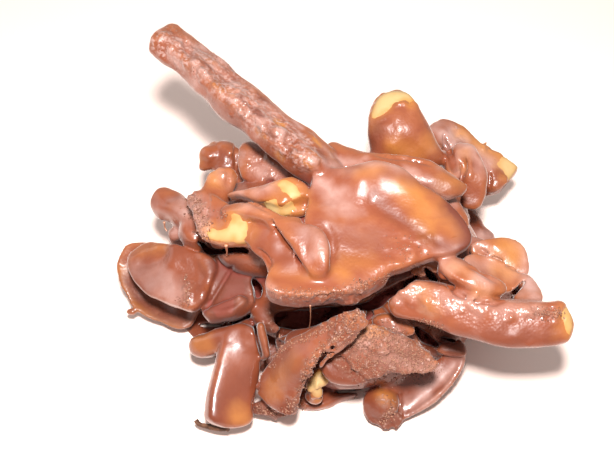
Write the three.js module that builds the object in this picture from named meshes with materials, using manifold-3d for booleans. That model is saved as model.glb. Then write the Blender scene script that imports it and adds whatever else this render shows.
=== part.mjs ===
// A chocolate haystack: a spoonful of crisp fried noodles, wide crisp flakes and nut halves,
// turned in milk chocolate and set in a heap. The chocolate joins them, so the heap is one solid.
// Millimetres, +Z up, origin under the middle of the heap. +X runs along the heap's length, and
// the side seen in the picture is -Y.

import * as THREE from 'three';
import { mergeVertices } from 'three/addons/utils/BufferGeometryUtils.js';
import Module from 'manifold-3d';

const wasm = await Module();
wasm.setup();

// Driving sizes of the coated pieces
const NOODLE_WIDTH = 6;
const NOODLE_DEPTH = 4.2;
const FLAKE_DEPTH = 2.8;
const FOOT_LENGTH = 48;
const FOOT_WIDTH = 33;
const FOOT_HEIGHT = 3;

// How finely each kind of piece is made
const NOODLE_SIDES = 8;
const NOODLE_RINGS_MIN = 5;
const RING_SPACING = 5;
const RIM_SIDES_MIN = 10;
const RIM_SPACING = 3.4;
const FLAKE_RINGS = 3;
const LUMP_SIDES = 10;

// How square a noodle's section is, and how a noodle or flake narrows to its end or rim
const SECTION_POWER = 2.6;
const END_REACH = 0.9;
const END_WIDTH = 0.25;
const END_DEPTH = 0.4;
const RIM_POWER = 4;

// Side of the block whose top is the flat surface that the heap stands on
const SURFACE_SIDE = 200;

// Corners closer than this are one corner
const SAME_POINT = 1e-4;

const UP = new THREE.Vector3(0, 0, 1);
const vector = ([x, y, z]) => new THREE.Vector3(x, y, z);
const curve = (points, closed) => new THREE.CatmullRomCurve3(points.map(vector), closed, 'catmullrom');
const bow = (angle) => Math.sign(angle) * Math.abs(angle) ** (2 / SECTION_POWER);

// The value at fraction t of a list spread evenly along a piece
function along(values, t) {
  const place = t * (values.length - 1);
  const start = Math.min(Math.floor(place), values.length - 2);
  return THREE.MathUtils.lerp(values[start], values[start + 1], place - start);
}

// A closed triangle mesh as a solid
function solid(positions, triangles) {
  const mesh = new wasm.Mesh({
    numProp: 3,
    vertProperties: new Float32Array(positions),
    triVerts: new Uint32Array(triangles),
  });
  return new wasm.Manifold(mesh);
}

function solidOf(geometry) {
  geometry.deleteAttribute('normal');
  geometry.deleteAttribute('uv');
  const merged = mergeVertices(geometry, SAME_POINT);
  return solid(merged.attributes.position.array, merged.index.array);
}

// Triangles that join rings of points into a tube with a point at each end
function tubeTriangles(rings, sides) {
  const triangles = [];
  const first = rings * sides;
  const last = first + 1;
  for (let side = 0; side < sides; side += 1) {
    const next = (side + 1) % sides;
    for (let ring = 0; ring < rings - 1; ring += 1) {
      const low = ring * sides;
      const high = low + sides;
      triangles.push(low + side, low + next, high + next);
      triangles.push(low + side, high + next, high + side);
    }
    const end = (rings - 1) * sides;
    triangles.push(first, next, side, last, end + side, end + next);
  }
  return triangles;
}

// A noodle: a flat rounded section swept along its path, with rounded ends.
// Widths and depth are shares of the driving sizes, and roll is in degrees.
function noodle({ path, wide, deep = 1, roll = 0 }) {
  const line = curve(path, false);
  const length = line.getLength();
  const rings = NOODLE_RINGS_MIN + Math.floor(length / RING_SPACING);
  const tilt = THREE.MathUtils.degToRad(roll);
  const positions = [];
  const ends = [];
  for (let ring = 0; ring < rings; ring += 1) {
    const t = (1 - Math.cos((Math.PI * ring) / (rings - 1))) / 2;
    const middle = line.getPointAt(t);
    const ahead = line.getTangentAt(t);
    const across = UP.clone().cross(ahead).normalize().applyAxisAngle(ahead, tilt);
    const upward = ahead.clone().cross(across);
    const width = (NOODLE_WIDTH / 2) * along(wide, t);
    const gone = Math.min(t, 1 - t) * length;
    const run = Math.min(1, gone / (END_REACH * width));
    const narrow = Math.max(END_WIDTH, Math.sqrt(1 - (1 - run) ** 2));
    const depth = (NOODLE_DEPTH / 2) * deep * THREE.MathUtils.lerp(END_DEPTH, 1, narrow);
    for (let side = 0; side < NOODLE_SIDES; side += 1) {
      const angle = (2 * Math.PI * side) / NOODLE_SIDES;
      const point = middle.clone()
        .addScaledVector(across, bow(Math.cos(angle)) * width * narrow)
        .addScaledVector(upward, bow(Math.sin(angle)) * depth);
      positions.push(...point);
    }
    if (ring === 0 || ring === rings - 1) {
      ends.push(...middle);
    }
  }
  positions.push(...ends);
  return solid(positions, tubeTriangles(rings, NOODLE_SIDES));
}

// A flake: a plate with a round edge inside its rim, crowned by its bulge. Its highest place is
// the middle of the rim, or the peak where one is given.
function flake({ rim, thick = 1, bulge = 0.8, peak }) {
  const outline = curve(rim, true);
  const sides = Math.max(RIM_SIDES_MIN, Math.round(outline.getLength() / RIM_SPACING));
  let edge = outline.getSpacedPoints(sides).slice(0, sides);
  const middle = edge.reduce((sum, point) => sum.add(point), new THREE.Vector3()).divideScalar(sides);
  const facing = new THREE.Vector3();
  edge.forEach((point, side) => {
    const next = edge[(side + 1) % sides];
    facing.add(point.clone().sub(middle).cross(next.clone().sub(middle)));
  });
  facing.normalize();
  if (facing.z < 0) {
    facing.negate();
    edge = edge.reverse();
  }
  const crown = peak ? vector(peak) : middle;
  const layer = (share, face) => {
    const reach = Math.sin((Math.PI / 2) * share);
    const half = face * (FLAKE_DEPTH / 2) * thick * Math.sqrt(1 - share ** RIM_POWER);
    const lift = half + bulge * (1 - reach ** 2);
    return edge.map((point) => crown.clone().lerp(point, reach).addScaledVector(facing, lift));
  };
  const rings = [];
  for (let ring = 1; ring < 2 * FLAKE_RINGS; ring += 1) {
    const share = 1 - Math.abs(ring - FLAKE_RINGS) / FLAKE_RINGS;
    rings.push(layer(share, ring < FLAKE_RINGS ? -1 : 1));
  }
  const half = (FLAKE_DEPTH / 2) * thick;
  const under = crown.clone().addScaledVector(facing, bulge - half);
  const over = crown.clone().addScaledVector(facing, bulge + half);
  const positions = [...rings.flat(), under, over].flatMap((point) => [...point]);
  return solid(positions, tubeTriangles(rings.length, sides));
}

// A lump of chocolate and crumbs deep in the heap
function lump({ at, radii }) {
  const geometry = new THREE.SphereGeometry(1, LUMP_SIDES, LUMP_SIDES / 2);
  geometry.scale(...radii);
  geometry.translate(...at);
  return solidOf(geometry);
}

// The middle of the heap, and the foot of chocolate that it set on
const core = [
  { at: [0, 0, 8], radii: [18, 12, 8] },
  { at: [-11, 1, 7], radii: [10, 9, 7] },
  { at: [14, 1, 8], radii: [11, 10, 8] },
  { at: [5, -12, 5], radii: [12, 8, 8] },
  { at: [4, 1, 18], radii: [15, 9, 7] },
  { at: [-9, 1, 16], radii: [8, 8, 6] },
  { at: [0, -1, 0], radii: [FOOT_LENGTH / 2, FOOT_WIDTH / 2, FOOT_HEIGHT] },
].map(lump);

const top = [
  // The broad flake on top
  flake({
    rim: [[-2.5, 0.5, 26.5], [1, 4, 27], [9, 4, 28], [14.5, 1, 28], [19, -3.5, 27],
      [21, -8, 26], [18, -11, 25.5], [10, -13.5, 25.5], [1.5, -14.5, 25], [-2, -8, 27]],
    bulge: 1.6,
    peak: [5.5, -5.5, 28],
  }),
  // Its raised fold
  noodle({
    path: [[4.5, 0, 28.5], [10, -2.5, 29], [16, -6, 28], [19.5, -8.5, 26]],
    wide: [1, 1.2, 1.15, 0.9],
    deep: 0.8,
    roll: -10,
  }),
  // The lip that hangs over its front edge
  flake({
    rim: [[-8, -13.5, 23.5], [-6, -12.5, 24.5], [-2.5, -11.5, 25.5], [4, -11.5, 26],
      [10.5, -11, 26], [10.5, -13.5, 25], [6, -15, 24], [1, -16, 23], [-4.5, -16, 23],
      [-7.5, -15, 23]],
    thick: 0.85,
  }),
];

const back = [
  // The long noodle that stands out over the back
  noodle({
    path: [[-25, 25.5, 31.5], [-17, 19, 30], [-10, 12.5, 28.5], [-3, 6.5, 27], [2, 3.5, 24.5]],
    wide: [1, 1, 1.05, 1.15, 1.1],
    roll: -12,
  }),
  // The strip along the back of the broad flake
  noodle({
    path: [[0.5, 8.5, 24.5], [6.5, 5.5, 25.5], [13.5, 4.5, 25], [20, 2, 23.5]],
    wide: [0.65, 0.7, 0.85, 0.85],
    deep: 0.7,
  }),
  // The lobe under the long noodle
  flake({
    rim: [[-13, 13, 19], [-12, 15, 19.5], [-10, 12, 20.5], [-6, 7.5, 22], [-3.5, 3.5, 23],
      [-9, 3.5, 22], [-12, 5, 21], [-13, 9, 20]],
    thick: 1.35,
    bulge: 1.2,
  }),
  // The knob of two crumbs behind it
  noodle({ path: [[-18, 15, 14.5], [-16, 16.5, 15], [-13.5, 16, 15.5]], wide: [0.85, 0.7, 0.85] }),
  noodle({ path: [[-20, 11.5, 13], [-19, 14, 14]], wide: [0.75, 0.8] }),
];

const hand = [
  // Palm
  flake({
    rim: [[-19.5, 2, 20.5], [-17, 3.5, 22], [-12.5, -0.5, 24], [-8.5, -4, 25.5],
      [-7.5, -6.5, 25], [-10.5, -7, 23], [-15, -6.5, 21], [-17.5, -4, 20]],
    thick: 1.15,
  }),
  // Thumb
  noodle({ path: [[-13, 6.5, 22.5], [-15, 3.5, 23], [-16.5, -0.5, 22.5]], wide: [0.65, 0.75, 0.9] }),
  // Finger
  noodle({
    path: [[-26, 6.5, 14.5], [-23, 6, 15], [-18.5, 2, 16.5], [-12, -1, 17]],
    wide: [0.85, 0.67, 0.75, 0.8],
  }),
  // The prong and the tongue that run up on to the broad flake
  noodle({ path: [[-12.5, -2.5, 24.5], [-7.5, -1, 25.5], [-2.5, 0.5, 26.5]], wide: [0.65, 0.8, 0.8] }),
  noodle({
    path: [[-9.5, -3.5, 26.5], [-5.5, -5.5, 28], [-2, -9, 27.5], [0.5, -12, 26]],
    wide: [0.55, 0.75, 0.8, 0.7],
    deep: 0.8,
  }),
  // The leg between palm and lip, and a rough bit under it
  flake({
    rim: [[-10, -5, 25], [-6.5, -5, 26], [-3.5, -9, 25.5], [-2, -12, 24.5], [-4, -12.5, 23],
      [-8.5, -9.5, 22.5], [-10, -7.5, 23.5]],
    thick: 1.1,
  }),
  flake({
    rim: [[-11, -5.5, 18.5], [-9.5, -5.5, 19], [-7.5, -8.5, 19.5], [-7.5, -10.5, 18.5],
      [-9.5, -10, 18], [-10.5, -7.5, 18]],
    bulge: 0.4,
  }),
];

const left = [
  // The folded flake
  flake({
    rim: [[-30, -0.5, 8.5], [-29, 1.5, 10], [-26.5, 2, 11.5], [-22.5, 1, 12.5],
      [-17.5, -1.5, 13.5], [-16, -6.5, 12.5], [-16.5, -10, 11], [-19.5, -10, 9.5],
      [-24, -8, 8.5], [-28, -5, 7.5]],
    bulge: 0.4,
    peak: [-20, -6, 13.5],
  }),
  // The curled flake under it
  flake({
    rim: [[-28.5, 4.5, 8.5], [-31.5, 3, 7.5], [-32.5, -1, 5], [-30.5, -5, 3.5], [-26, -8, 2.5],
      [-21.5, -10.5, 2], [-18, -9.5, 4], [-23.5, -1, 8]],
    thick: 0.65,
    bulge: -2.2,
  }),
  // Two plates that meet at a ridge
  flake({
    rim: [[-18, -10.5, 9], [-17, -7.5, 11.5], [-13.5, -5.5, 13], [-10, -4, 14.5],
      [-9, -7.5, 13], [-9.5, -9.5, 11], [-13, -11, 9]],
    bulge: 0.6,
    peak: [-13.5, -9.5, 13.5],
  }),
  flake({
    rim: [[-17.5, -2, 14], [-14, -3, 15], [-10.5, -4, 15.5], [-10, -7.5, 14.5],
      [-14, -8, 13], [-16.5, -7, 12.5]],
  }),
];

const front = [
  // The leaf that hangs lowest, and the lobe beside it
  flake({
    rim: [[-11, -11, 10.5], [-8.5, -13.5, 9], [-8, -17, 7.5], [-9.5, -22, 4.5],
      [-11.5, -26, 1.5], [-15.5, -25.5, 1.5], [-17, -22.5, 3], [-15, -16.5, 6.5]],
    bulge: 1.2,
  }),
  flake({
    rim: [[-20.5, -11.5, 6.5], [-17.5, -10.5, 8], [-12.5, -10.5, 10], [-11, -13, 9.5],
      [-14, -15.5, 6.5], [-18, -15.5, 5], [-20.5, -14, 5]],
    bulge: 0.9,
  }),
  // The long strip, and the crumb it stands on
  noodle({
    path: [[8, -11, 23], [5, -14.5, 20.5], [0.5, -17, 17.5], [-3, -19, 14], [-6, -21.5, 9.5],
      [-7.5, -24, 5.5]],
    wide: [0.65, 0.65, 1, 1.15, 1.25, 1.1],
    deep: 0.75,
    roll: 12,
  }),
  noodle({ path: [[-11, -22.5, 2], [-5.5, -23, 2]], wide: [0.8, 0.7], deep: 0.75 }),
  // The rough bark and its foot
  flake({
    rim: [[1.5, -19.5, 15], [4.5, -17.5, 17], [8.5, -17, 17.5], [11.5, -17.5, 17],
      [14.5, -19, 15.5], [16.5, -20, 13.5], [15.5, -22, 12.5], [12, -22, 13.5],
      [9, -21.5, 14], [5.5, -23, 12.5], [3, -22, 13]],
    thick: 1.2,
    bulge: 0.9,
  }),
  flake({
    rim: [[-0.5, -20, 12.5], [2, -19, 13.5], [4.5, -21, 13], [7, -22, 12], [4, -22.5, 11],
      [1, -22.5, 11]],
  }),
  // The curled shell and the knob in its corner
  flake({
    rim: [[6, -20.5, 4.5], [9, -20, 5.5], [14, -19, 7], [19.5, -16.5, 10], [21.5, -17.5, 9],
      [20.5, -19, 6.5], [17.5, -22, 4], [12, -24.5, 2], [7, -24.5, 2]],
    thick: 0.7,
    bulge: -1.7,
  }),
  noodle({ path: [[7, -21.5, 4.5], [8.5, -23.5, 4]], wide: [0.85, 0.75], deep: 0.85 }),
  // Plates that show in the gaps behind the bark
  flake({
    rim: [[7.5, -10, 14], [10, -11, 15], [12, -13.5, 14.5], [13.5, -15.5, 13],
      [10.5, -15.5, 12], [7.5, -13.5, 12.5]],
    bulge: 0.6,
  }),
  flake({
    rim: [[13, -13, 9.5], [17.5, -13, 10], [22, -14, 10], [22.5, -16.5, 8.5],
      [18.5, -17, 7.5], [15, -15.5, 8]],
    bulge: 0.4,
  }),
  // Noodles deep in the gap between leaf and strip
  noodle({ path: [[-8.5, -11, 15], [-5, -13.5, 14], [-1.5, -13.5, 13]], wide: [0.8, 0.8, 0.8] }),
  noodle({ path: [[-8.5, -12.5, 10], [-6.5, -16, 9]], wide: [0.67, 0.67] }),
  noodle({ path: [[-10, -9, 10], [-4, -12, 9.5], [2, -14.5, 9]], wide: [0.8, 0.95, 0.85] }),
  // A bare crumb, and one in the chocolate that ran out under the bark
  noodle({ path: [[-1.5, -20, 4.5], [0, -19, 5.5]], wide: [0.6, 0.6] }),
  noodle({ path: [[-2.5, -21, 2], [-1.5, -20.5, 3]], wide: [0.5, 0.5], deep: 0.7 }),
  flake({
    rim: [[-4.5, -20.5, 0.7], [-2, -22, 0.7], [1.5, -22, 0.7], [4, -20, 0.7],
      [7, -17.5, 0.7], [0, -14, 0.7]],
    thick: 0.6,
    bulge: 0.2,
  }),
];

const right = [
  // The noodle that stands out to the right
  noodle({
    path: [[9.5, -13, 20.5], [14.5, -15, 21.5], [19.5, -17.5, 21], [26, -18.5, 20.5],
      [33, -17.5, 20.5]],
    wide: [0.75, 1.1, 1.05, 1.07, 1],
    roll: -6,
  }),
  // The tongue over its root
  noodle({
    path: [[16, -10.5, 25], [18.5, -12.5, 24], [21.5, -14.5, 23.5], [24, -14.5, 23]],
    wide: [0.7, 0.85, 0.77, 0.6],
    deep: 0.8,
  }),
  // Three plates behind the tongue
  flake({
    rim: [[20.5, -7.5, 21], [23.5, -6, 20.5], [27, -8, 20], [28.5, -11, 19], [27, -12, 18.5],
      [24.5, -11, 19.5], [21.5, -10.5, 20.5]],
    bulge: 0.7,
  }),
  flake({
    rim: [[22.5, -1, 16], [26, -0.5, 17], [29, -1.5, 17], [30.5, -4, 16], [29.5, -7, 14.5],
      [26.5, -6.5, 15.5]],
    peak: [26.5, -4, 18],
  }),
  flake({
    rim: [[29, -6, 13.5], [31, -6, 13.5], [32.5, -9.5, 12.5], [31, -10, 12], [29, -8.5, 12.5]],
    thick: 0.85,
    bulge: 0.4,
  }),
];

const nutSide = [
  // The nut half
  flake({
    rim: [[11.5, 21, 25], [14.5, 19.5, 24], [16.5, 16, 22.5], [18.5, 13, 20.5],
      [19.5, 11, 18.5], [14.5, 9, 18], [9, 10.5, 18.5], [7, 14.5, 20], [7, 18.5, 22],
      [9, 20, 24.5]],
    thick: 1.45,
    bulge: 2,
    peak: [12.5, 13.5, 22.5],
  }),
  // The bar behind it
  noodle({
    path: [[20, 23, 13.5], [24, 20, 13], [28.5, 16.5, 11], [31.5, 13.5, 9]],
    wide: [0.75, 0.85, 0.95, 1.1],
    deep: 1.1,
  }),
  // The bent noodle in front of the bar, and the ridge beside it
  noodle({
    path: [[21.5, 13.5, 18.5], [22.5, 9.5, 19], [23, 6.5, 17.5], [22, 4.5, 15]],
    wide: [0.65, 0.75, 0.8, 0.75],
  }),
  noodle({ path: [[20, 13.5, 18.5], [20, 7.5, 18.5]], wide: [0.57, 0.53], deep: 0.75 }),
];

// Noodles that lie between the layers and tie the outer pieces to the middle
const ties = [
  [[8, -20, 14.5], [8, -15, 12], [6, -8, 12]],
  [[-3, -19, 13], [-2, -14, 11], [0, -9, 10]],
  [[-28, 1, 7.5], [-20, 0, 7], [-12, 0, 7]],
  [[-16, 15, 14], [-12, 11, 14], [-8, 8, 16]],
  [[21, 23, 13], [17, 18, 13], [10, 8, 14]],
  [[28, -5, 15.5], [21, -3, 15], [14, -2, 14]],
  [[30, -7, 12.5], [24, -5, 11], [16, -3, 11]],
  [[-13, -5, 17.5], [-15, 1, 18], [-12, 7, 17]],
  [[-7, 8, 20], [1, 8.5, 21], [9, 6, 21]],
  [[-3, -11, 19], [3, -9, 20], [9, -10, 20]],
  [[11, 6, 21], [17, 3, 19.5], [20, -3, 17]],
].map((path) => noodle({ path, wide: [0.75, 0.95, 0.85] }));

// Noodles of the far side and the lower layers, which the picture doesn't show
const farNoodles = [
  [[-15, 15, 4], [-5, 18, 6], [5, 19, 7], [13, 17, 6]],
  [[-9, 12, 17], [-1, 15, 12], [7, 18, 6], [12, 20, 2]],
  [[-11, 9, 15], [-17, 12, 9], [-21, 15, 2]],
  [[15, 19, 2.5], [22, 14, 3], [27, 5, 3]],
  [[19, 0, 14], [25, -1, 9], [28, -2, 2]],
  [[8, 10, 20], [12, 15, 14], [15, 18, 8]],
].map((path) => noodle({ path, wide: [0.8, 1, 0.9] }));

// Flakes of the far side and the lower layers
const farFlakes = [
  [[-11, 12, 9], [-7, 12, 17], [0, 11, 20], [6, 12, 17], [5, 15, 9], [-3, 16, 6]],
  [[12, 14, 14], [18, 12, 15], [22, 8, 12], [24, 8, 6], [20, 14, 3], [12, 17, 5]],
  [[-21, 3, 4], [-24, 8, 3], [-19, 13, 3], [-13, 12, 8], [-14, 6, 12], [-19, 3, 9]],
  [[19, -12, 6], [22, -10, 12], [25, -5, 13], [26, -1, 8], [24, -5, 2], [19, -10, 2]],
  [[13, -8, 18], [18, -6, 19], [21, 2, 16], [18, 5, 11], [15, -3, 12]],
].map((rim) => flake({ rim }));

const pieces = [
  ...core, ...top, ...back, ...hand, ...left, ...front, ...right, ...nutSide,
  ...ties, ...farNoodles, ...farFlakes,
];
const joined = pieces.reduce((whole, piece) => whole.add(piece));

// The heap set on a flat surface, so what would reach below it is cut flat
const surface = new THREE.BoxGeometry(SURFACE_SIDE, SURFACE_SIDE, SURFACE_SIDE);
surface.translate(0, 0, -SURFACE_SIDE / 2);
const stood = joined.subtract(solidOf(surface));

// The largest shell is the heap; a sealed hollow or a loose scrap is a shell of its own
const [heap] = stood.decompose().sort((one, other) => other.volume() - one.volume());

const { vertProperties, triVerts } = heap.getMesh();
const geometry = new THREE.BufferGeometry();
geometry.setAttribute('position', new THREE.BufferAttribute(vertProperties, 3));
geometry.setIndex(new THREE.BufferAttribute(triVerts, 1));
geometry.computeVertexNormals();

const chocolate = new THREE.MeshStandardMaterial({ color: 0xa9684a, roughness: 0.3, metalness: 0 });
const haystack = new THREE.Mesh(geometry, chocolate);
haystack.name = 'haystack';

const part = new THREE.Group();
part.add(haystack);

export default part;
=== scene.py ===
import math

import bpy
import numpy as np
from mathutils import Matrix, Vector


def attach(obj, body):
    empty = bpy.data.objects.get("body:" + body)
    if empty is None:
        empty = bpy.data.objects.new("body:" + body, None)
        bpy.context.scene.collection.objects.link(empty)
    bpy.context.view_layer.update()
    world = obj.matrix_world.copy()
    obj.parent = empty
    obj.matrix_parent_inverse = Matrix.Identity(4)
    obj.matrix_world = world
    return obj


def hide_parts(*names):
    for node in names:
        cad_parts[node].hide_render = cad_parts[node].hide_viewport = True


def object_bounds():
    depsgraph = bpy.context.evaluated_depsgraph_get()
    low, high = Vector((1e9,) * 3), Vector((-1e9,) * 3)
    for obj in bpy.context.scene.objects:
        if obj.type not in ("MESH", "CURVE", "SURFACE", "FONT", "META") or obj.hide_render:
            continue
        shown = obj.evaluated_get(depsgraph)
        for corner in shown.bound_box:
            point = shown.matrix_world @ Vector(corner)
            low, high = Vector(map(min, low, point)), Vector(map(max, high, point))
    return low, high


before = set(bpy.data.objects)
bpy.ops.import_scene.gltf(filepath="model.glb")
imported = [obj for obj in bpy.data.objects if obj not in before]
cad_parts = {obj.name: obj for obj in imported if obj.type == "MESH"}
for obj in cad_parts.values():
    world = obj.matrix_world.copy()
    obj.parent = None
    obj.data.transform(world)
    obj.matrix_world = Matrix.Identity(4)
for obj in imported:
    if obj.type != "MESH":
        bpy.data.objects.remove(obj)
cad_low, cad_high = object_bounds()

import openvdb
from mathutils import Vector

# The middle of the heap: chocolate and broken crisps, spooned out in one warm mass.
# Everything that lies in it is held as distances to its surface on a fine grid, so that
# chocolate fills the corners where two pieces meet, as it does when it sets.
MM = 0.001
STEP = 0.3  # millimetres between the grid's points
BAND = 6  # steps on either side of a surface in which its distances are true
REACH = BAND * STEP
MARGIN = 2.0  # empty grid around the heap
MEETING = 0.5  # how far the chocolate fills a corner
PARTED = 1.8  # a rope breaks where its points lie further apart
WANDER = 0.3  # how far a piece's skin strays from its plain form
COARSE, FINER = 4.5, 1.9  # the lengths over which it strays
FINER_SHARE = 0.4
LATTICE = 40, 40, 30
LATTICE_MIDDLE = 10
# The fields of the coat: its finish, and where sheen and shade are painted on it.
FINISHES_AND_PAINTED_LIGHT = "rough", "thin", "bare", "ripe", "painted_sheen", "pitted", "dull_painted_shade", "calm", "streaks_and_painted_sheen"
MIDDLE = np.array([-2.1, 2.0, 14.0])
EYE_AWAY = 140.0
EYE_RISE = math.radians(55)
TOWARD = np.array([0, math.cos(EYE_RISE), -math.sin(EYE_RISE)])
UPWARD = np.array([0, math.sin(EYE_RISE), math.cos(EYE_RISE)])
EYE = MIDDLE - EYE_AWAY * TOWARD
LOOKS = 70  # steps along a line of sight
CAUTION = 0.8  # the share of the distance still to go that each step takes
ABOVE_TABLE = 0.1
CLOSE = 0.35  # between two places of a stroke
FADE = 0.25  # the share of a stroke in which it runs out
LIFT_REACH = 2.2  # widths from a path to where its swelling has run out
GAP_PLACES = 40
GAP_EDGE = 0.3
GAP_ROOM = 0.5
GAP_RAGGED = 1.3  # how uneven its bottom is
INSIDE = 1.001  # steps from the far side of the grid to the last place that can be read
TINY = 1e-9


def grown(low, high, by):
    """The first grid point of a box with room around it, and the one after its last."""
    return np.floor((low - by) / STEP).astype(int), np.ceil((high + by) / STEP).astype(int) + 1


def eased(part):
    """From 0 to 1 with a level start and end."""
    return part * part * (3 - 2 * part)


def waves(shape, size, seed):
    """Smooth random heights over a grid, about one for each length of this size."""
    counts = [int(n * STEP / size) + 3 for n in shape]
    field = np.random.default_rng(seed).standard_normal(counts)
    for axis, n in enumerate(shape):
        place = np.arange(n) * STEP / size
        low = place.astype(int)
        part = eased(place - low).reshape([-1 if k == axis else 1 for k in range(3)])
        field = np.take(field, low, axis) * (1 - part) + np.take(field, low + 1, axis) * part
    return field.astype(np.float32)


def wander(points, size):
    """A smooth random push for each point, the same for points that lie together."""
    lattice = np.random.default_rng(7).standard_normal((*LATTICE, 3))
    place = points / size + LATTICE_MIDDLE
    low = np.floor(place).astype(int)
    part = eased(place - low)
    push = np.zeros((len(points), 3))
    for corner in np.ndindex(2, 2, 2):
        i, j, k = ((low + corner) % LATTICE).T
        push += np.prod(np.where(corner, part, 1 - part), axis=1)[:, None] * lattice[i, j, k]
    return push


def smooth(points, closed=False):
    """A curve that passes through each point, as many close points."""
    points = np.asarray(points, float)
    if closed:
        knots = np.vstack([points[-1], points, points[:2]])
    else:
        knots = np.vstack([2 * points[0] - points[1], points, 2 * points[-1] - points[-2]])
    t = np.linspace(0, 1, 40, endpoint=False)[:, None]
    spans = []
    for a, b, c, d in zip(knots, knots[1:], knots[2:], knots[3:]):
        spans.append(0.5 * (2 * b + (c - a) * t + (2 * a - 5 * b + 4 * c - d) * t ** 2
                            + (3 * b - a - 3 * c + d) * t ** 3))
    return np.vstack(spans + [knots[-2][None]])


def run_along(line):
    """How far along a line each of its points lies."""
    return np.concatenate([[0], np.cumsum(np.linalg.norm(np.diff(line, axis=0), axis=1))])


def spaced(line, shares):
    """Points at these shares of a line's length."""
    run = run_along(line)
    return np.stack([np.interp(shares * run[-1], run, line[:, k]) for k in range(3)], 1)


def between(values, shares):
    """One or more values at even shares of a path, read at any of its shares."""
    values = np.atleast_1d(values)
    return np.interp(shares, np.linspace(0, 1, len(values)), values)


def flat(path):
    """A path of places in the front view as points with a third number of 0."""
    return np.array([[*place, 0] for place in path], float)


def tapering(path, shares, fade):
    """The height of a stroke, from 0 at its ends to 1. A single place has no ends."""
    if len(path) == 1:
        return np.ones(len(shares))
    return np.sqrt(np.clip(np.minimum(shares, 1 - shares) / fade, 0, 1))


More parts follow.
